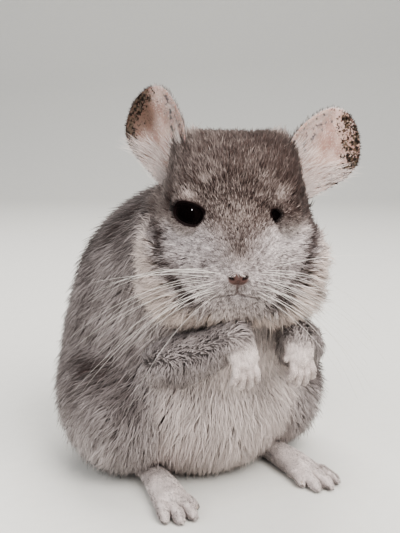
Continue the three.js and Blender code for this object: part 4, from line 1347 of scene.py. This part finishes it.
for s, side in ((1, "left"), (-1, "right")):
    rows = [(0.0, 0.0)] + [(ring / ear_rings, 2 * np.pi * step / ear_steps)
                           for ring in range(1, ear_rings + 1) for step in range(ear_steps)]
    size, turn = np.array(rows).T
    a, h = ear_place(size, turn)
    middle, outward = ear_face(a, h, s)
    half = (0.75 - 0.45 * size**2)[:, None] * smooth(size, 1.0, 0.9)[:, None] ** 0.5 * 0.5 + 0.16
    front_side = middle + outward * (half + ear_relief(a, h, size)[:, None])
    back_side = middle - outward * half
    per_side = len(size)
    faces = []
    for step in range(ear_steps):
        after = (step + 1) % ear_steps
        faces.append((0, 1 + step, 1 + after))
        for ring in range(ear_rings - 1):
            low, high = 1 + ring * ear_steps, 1 + (ring + 1) * ear_steps
            faces += [(low + step, high + step, high + after), (low + step, high + after, low + after)]
    faces = np.array(faces)
    last = 1 + (ear_rings - 1) * ear_steps
    edge = []
    for step in range(ear_steps):
        here, after = last + step, last + (step + 1) % ear_steps
        edge += [(here, here + per_side, after + per_side), (here, after + per_side, after)]
    cup_faces = faces if s < 0 else faces[:, ::-1]
    edge_faces = np.array(edge) if s < 0 else np.array(edge)[:, ::-1]
    all_faces = np.concatenate((cup_faces, cup_faces[:, ::-1] + per_side, edge_faces))
    both_sides = out_of_head(np.concatenate((front_side, back_side)))
    ear = arrays_to_object(f"ear_sheet_{side}", both_sides, all_faces)
    give_value(ear, "mottle", np.tile(mottling(size, a, h, s), 2))
    give_value(ear, "cup", np.repeat((1.0, 0.0), per_side))
    give_value(ear, "ash", np.tile(ashing(size, a, h), 2))
    give_value(ear, "brown", np.tile(brown_and_cup_shade(a, h, s), 2))
    ear.data.materials.append(ear_hide)
    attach(ear, "root")
    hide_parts(f"ear_{side}")

    # fan: long fine hairs out of the cup; down: a thin fuzz over the cup; edge: a fringe on the rim;
    # back: short fur; skirt: fur at the root of the ear
    draw = np.random.default_rng(40 + s)
    kinds = []
    for kind, many in (("fan", 800), ("down", 1900), ("edge", 900), ("back", 2700), ("skirt", 420)):
        many = int(many * thin)
        if kind == "fan":
            size, turn = np.sqrt(draw.uniform(0.02, 0.8, many)), draw.uniform(-1.75, 1.5, many)
        elif kind == "edge":
            size, turn = draw.uniform(0.955, 0.995, many), draw.uniform(0, 2 * np.pi, many)
        elif kind == "skirt":
            size, turn = draw.uniform(0.62, 0.96, many), draw.uniform(-0.9, 0.6, many)
        else:
            size, turn = np.sqrt(draw.uniform(0, 0.96, many)), draw.uniform(0, 2 * np.pi, many)
        a, h = ear_place(size, turn)
        middle, outward = ear_face(a, h, s)
        upward = unit(ear_sheet(a, h + 0.5, s) - ear_sheet(a, h - 0.5, s))
        sideways = unit(ear_sheet(a + 0.5, h, s) - ear_sheet(a - 0.5, h, s))
        spread = (a / ear_wide)[:, None] * (1.4 if kind != "edge" else 3.0)
        lean_out = -0.55 if kind == "fan" else 0
        if kind == "edge":
            upward = upward * np.cos(turn)[:, None] * -1
            spread = np.sin(turn)[:, None]
        way = upward + (spread + lean_out) * sideways + 0.15 * draw.normal(size=(many, 3))
        faced = outward if kind != "back" else -outward
        way = unit(way - (way * faced).sum(1, keepdims=True) * faced)
        roots_at = middle + faced * (0.3 if kind != "edge" else 0.05)
        if kind in ("fan", "down", "skirt"):
            roots_at = roots_at + faced * ear_relief(a, h, size)[:, None]
        # the hair is dark over the blotches and over the brown of the cup, which is partly painted shade
        dark_skin_and_cup_shade = np.maximum(mottling(size, a, h, s), 0.9 * brown_and_cup_shade(a, h, s))
        blotched = dark_skin_and_cup_shade > draw.uniform(0.35, 0.75, many)
        spotted = 0.6 * ashing(size, a, h) > draw.uniform(0.1, 1.0, many)
        # length, width, lift and how pale
        downy = np.where(blotched, 0.0, np.where(spotted, 0.25, 0.9))
        looks = {
            "fan": (draw.uniform(6, 13, many), 0.11, 0.26, np.full(many, 0.97)),
            "down": (draw.uniform(0.8, 1.5, many), 0.12, 0.3, downy),
            "edge": (draw.uniform(0.8, 1.5, many), 0.2, 0.2, np.where(blotched, -0.1, 0.8)),
            "back": (draw.uniform(1.8, 3.0, many), 0.28, 0.25, np.full(many, 0.42)),
            "skirt": (draw.uniform(4, 8, many), 0.3, 0.5, np.full(many, 0.62)),
        }
        far, broad, raised, light = looks[kind]
        map_across = 0.25 + 0.5 * (kind == "back") + 0.22 * a / (ear_wide / 2)
        map_at = np.stack((map_across, 0.04 + 0.92 * h / ear_whole), 1)
        kinds.append((out_of_head(roots_at), faced @ head_frame.T, way @ head_frame.T, far,
                      np.full(many, broad), np.full(many, raised), map_at, light,
                      np.full(many, 0.5), draw.uniform(0.2, 0.7, many)))
    roots_at, faced, way, far, broad, raised, map_at, light, warm_at, luck = (
        np.concatenate([kind[i] for kind in kinds]) for i in range(10))
    tufts(f"ear_hair_{side}", roots_at, faced, way, far, broad, raised, map_at, (light, warm_at, luck),
          coat_hair, 60 + s, bend=0.1)


# Claws: small, blunt and pale horn, one to each finger and toe, bedded in the hair of its tip. Those of the
# hind feet are the larger.
finger_claw_long, finger_claw_wide = 1.6, 1.1
toe_claw_long, toe_claw_wide = 2.0, 1.5
claw_tip = 0.08
horn, horn_shader, horn_tree = new_material("claw_horn")
streak = grain(horn_tree, 0.8)
horn_tree.links.new(mixed(horn_tree, streak, (0.30, 0.24, 0.20, 1), (0.52, 0.44, 0.38, 1)),
                    horn_shader.inputs["Base Color"])
horn_shader.inputs["Roughness"].default_value = 0.35


def claw(end, ahead, long, wide):
    """A curved, tapered claw from just inside the tip of a toe."""
    down = np.array((0, 0, -1.0))
    share = np.linspace(0, 1, 7)
    line = end - 0.5 * wide * ahead + (share * long)[:, None] * ahead
    line = line + (0.28 * long * share**2)[:, None] * down
    return hose(line, wide / 2 * (1 - share**1.6) + claw_tip, sides=7)


claws = []
for s in both:
    for out, share in fingers:
        line = finger_line(s, out, share)
        claws.append(claw(line[3], unit(line[3] - line[2]), finger_claw_long, finger_claw_wide))
    for out, long_toe, _ in toes:
        line = out_of_foot(np.array(toe_line(out, long_toe)), s)
        ahead = unit(line[3] - line[2]) * (1, 1, 0.3)
        claws.append(claw(line[3] + (0, 0, 0.7), ahead, toe_claw_long, toe_claw_wide))
all_claws = together("claws", claws)
all_claws.data.materials.append(horn)
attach(all_claws, "root")


# Whiskers: long, stiff white hairs from rows on the pads beside the nose, swept out, back and a little down.
# Each is a thin hose with its root on the skin and a tapered tip.
whisker_hair, whisker_shader, whisker_tree = new_material("whisker_white")
sheen = grain(whisker_tree, 3.0)
whisker_tree.links.new(mixed(whisker_tree, sheen, (0.60, 0.56, 0.52, 1), (0.85, 0.82, 0.78, 1)),
                       whisker_shader.inputs["Base Color"])
whisker_shader.inputs["Roughness"].default_value = 0.3
whisker_rows, whiskers_in_row = 5, 4
whisker_long = {1: 37, -1: 41}
whisker_radius, whisker_tip = 0.066, 0.02


def on_face(x, z):
    """The place on the front of the head's skin at this place across and up."""
    q = np.array((x, -60.0, z))
    while to_head_skin(out_of_head(q[None]))[0] > 0 and q[1] < 0:
        q[1] += 0.2
    return q


draw = np.random.default_rng(77)
whiskers = []
for s in both:
    for row in range(whisker_rows):
        for k in range(whiskers_in_row):
            x = s * (6.5 + 2.0 * k + draw.uniform(-0.4, 0.4))
            z = -8.5 - 2.1 * row + 0.3 * k + draw.uniform(-0.4, 0.4)
            root = on_face(x, z)
            long_hair = whisker_long[s] + 6.0 * k + 1.5 * row + draw.uniform(-9, 6)
            start = unit(np.array((s * 0.95, -0.22 + 0.1 * k, 0.14 - 0.13 * row + draw.uniform(-0.16, 0.16))))
            sweep = np.array((-s * 0.08, 0.30, -0.5 - 0.04 * row)) * draw.uniform(0.4, 1.5)
            share = np.linspace(0, 1, 16)
            line = root + long_hair * (share[:, None] * start + 0.8 * share[:, None] ** 2 * sweep)
            radii = whisker_radius * (1 - share) ** 0.8 + whisker_tip
            whiskers.append(hose(out_of_head(line), radii, sides=5))
all_whiskers = together("whiskers", whiskers)
all_whiskers.data.materials.append(whisker_hair)
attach(all_whiskers, "root")
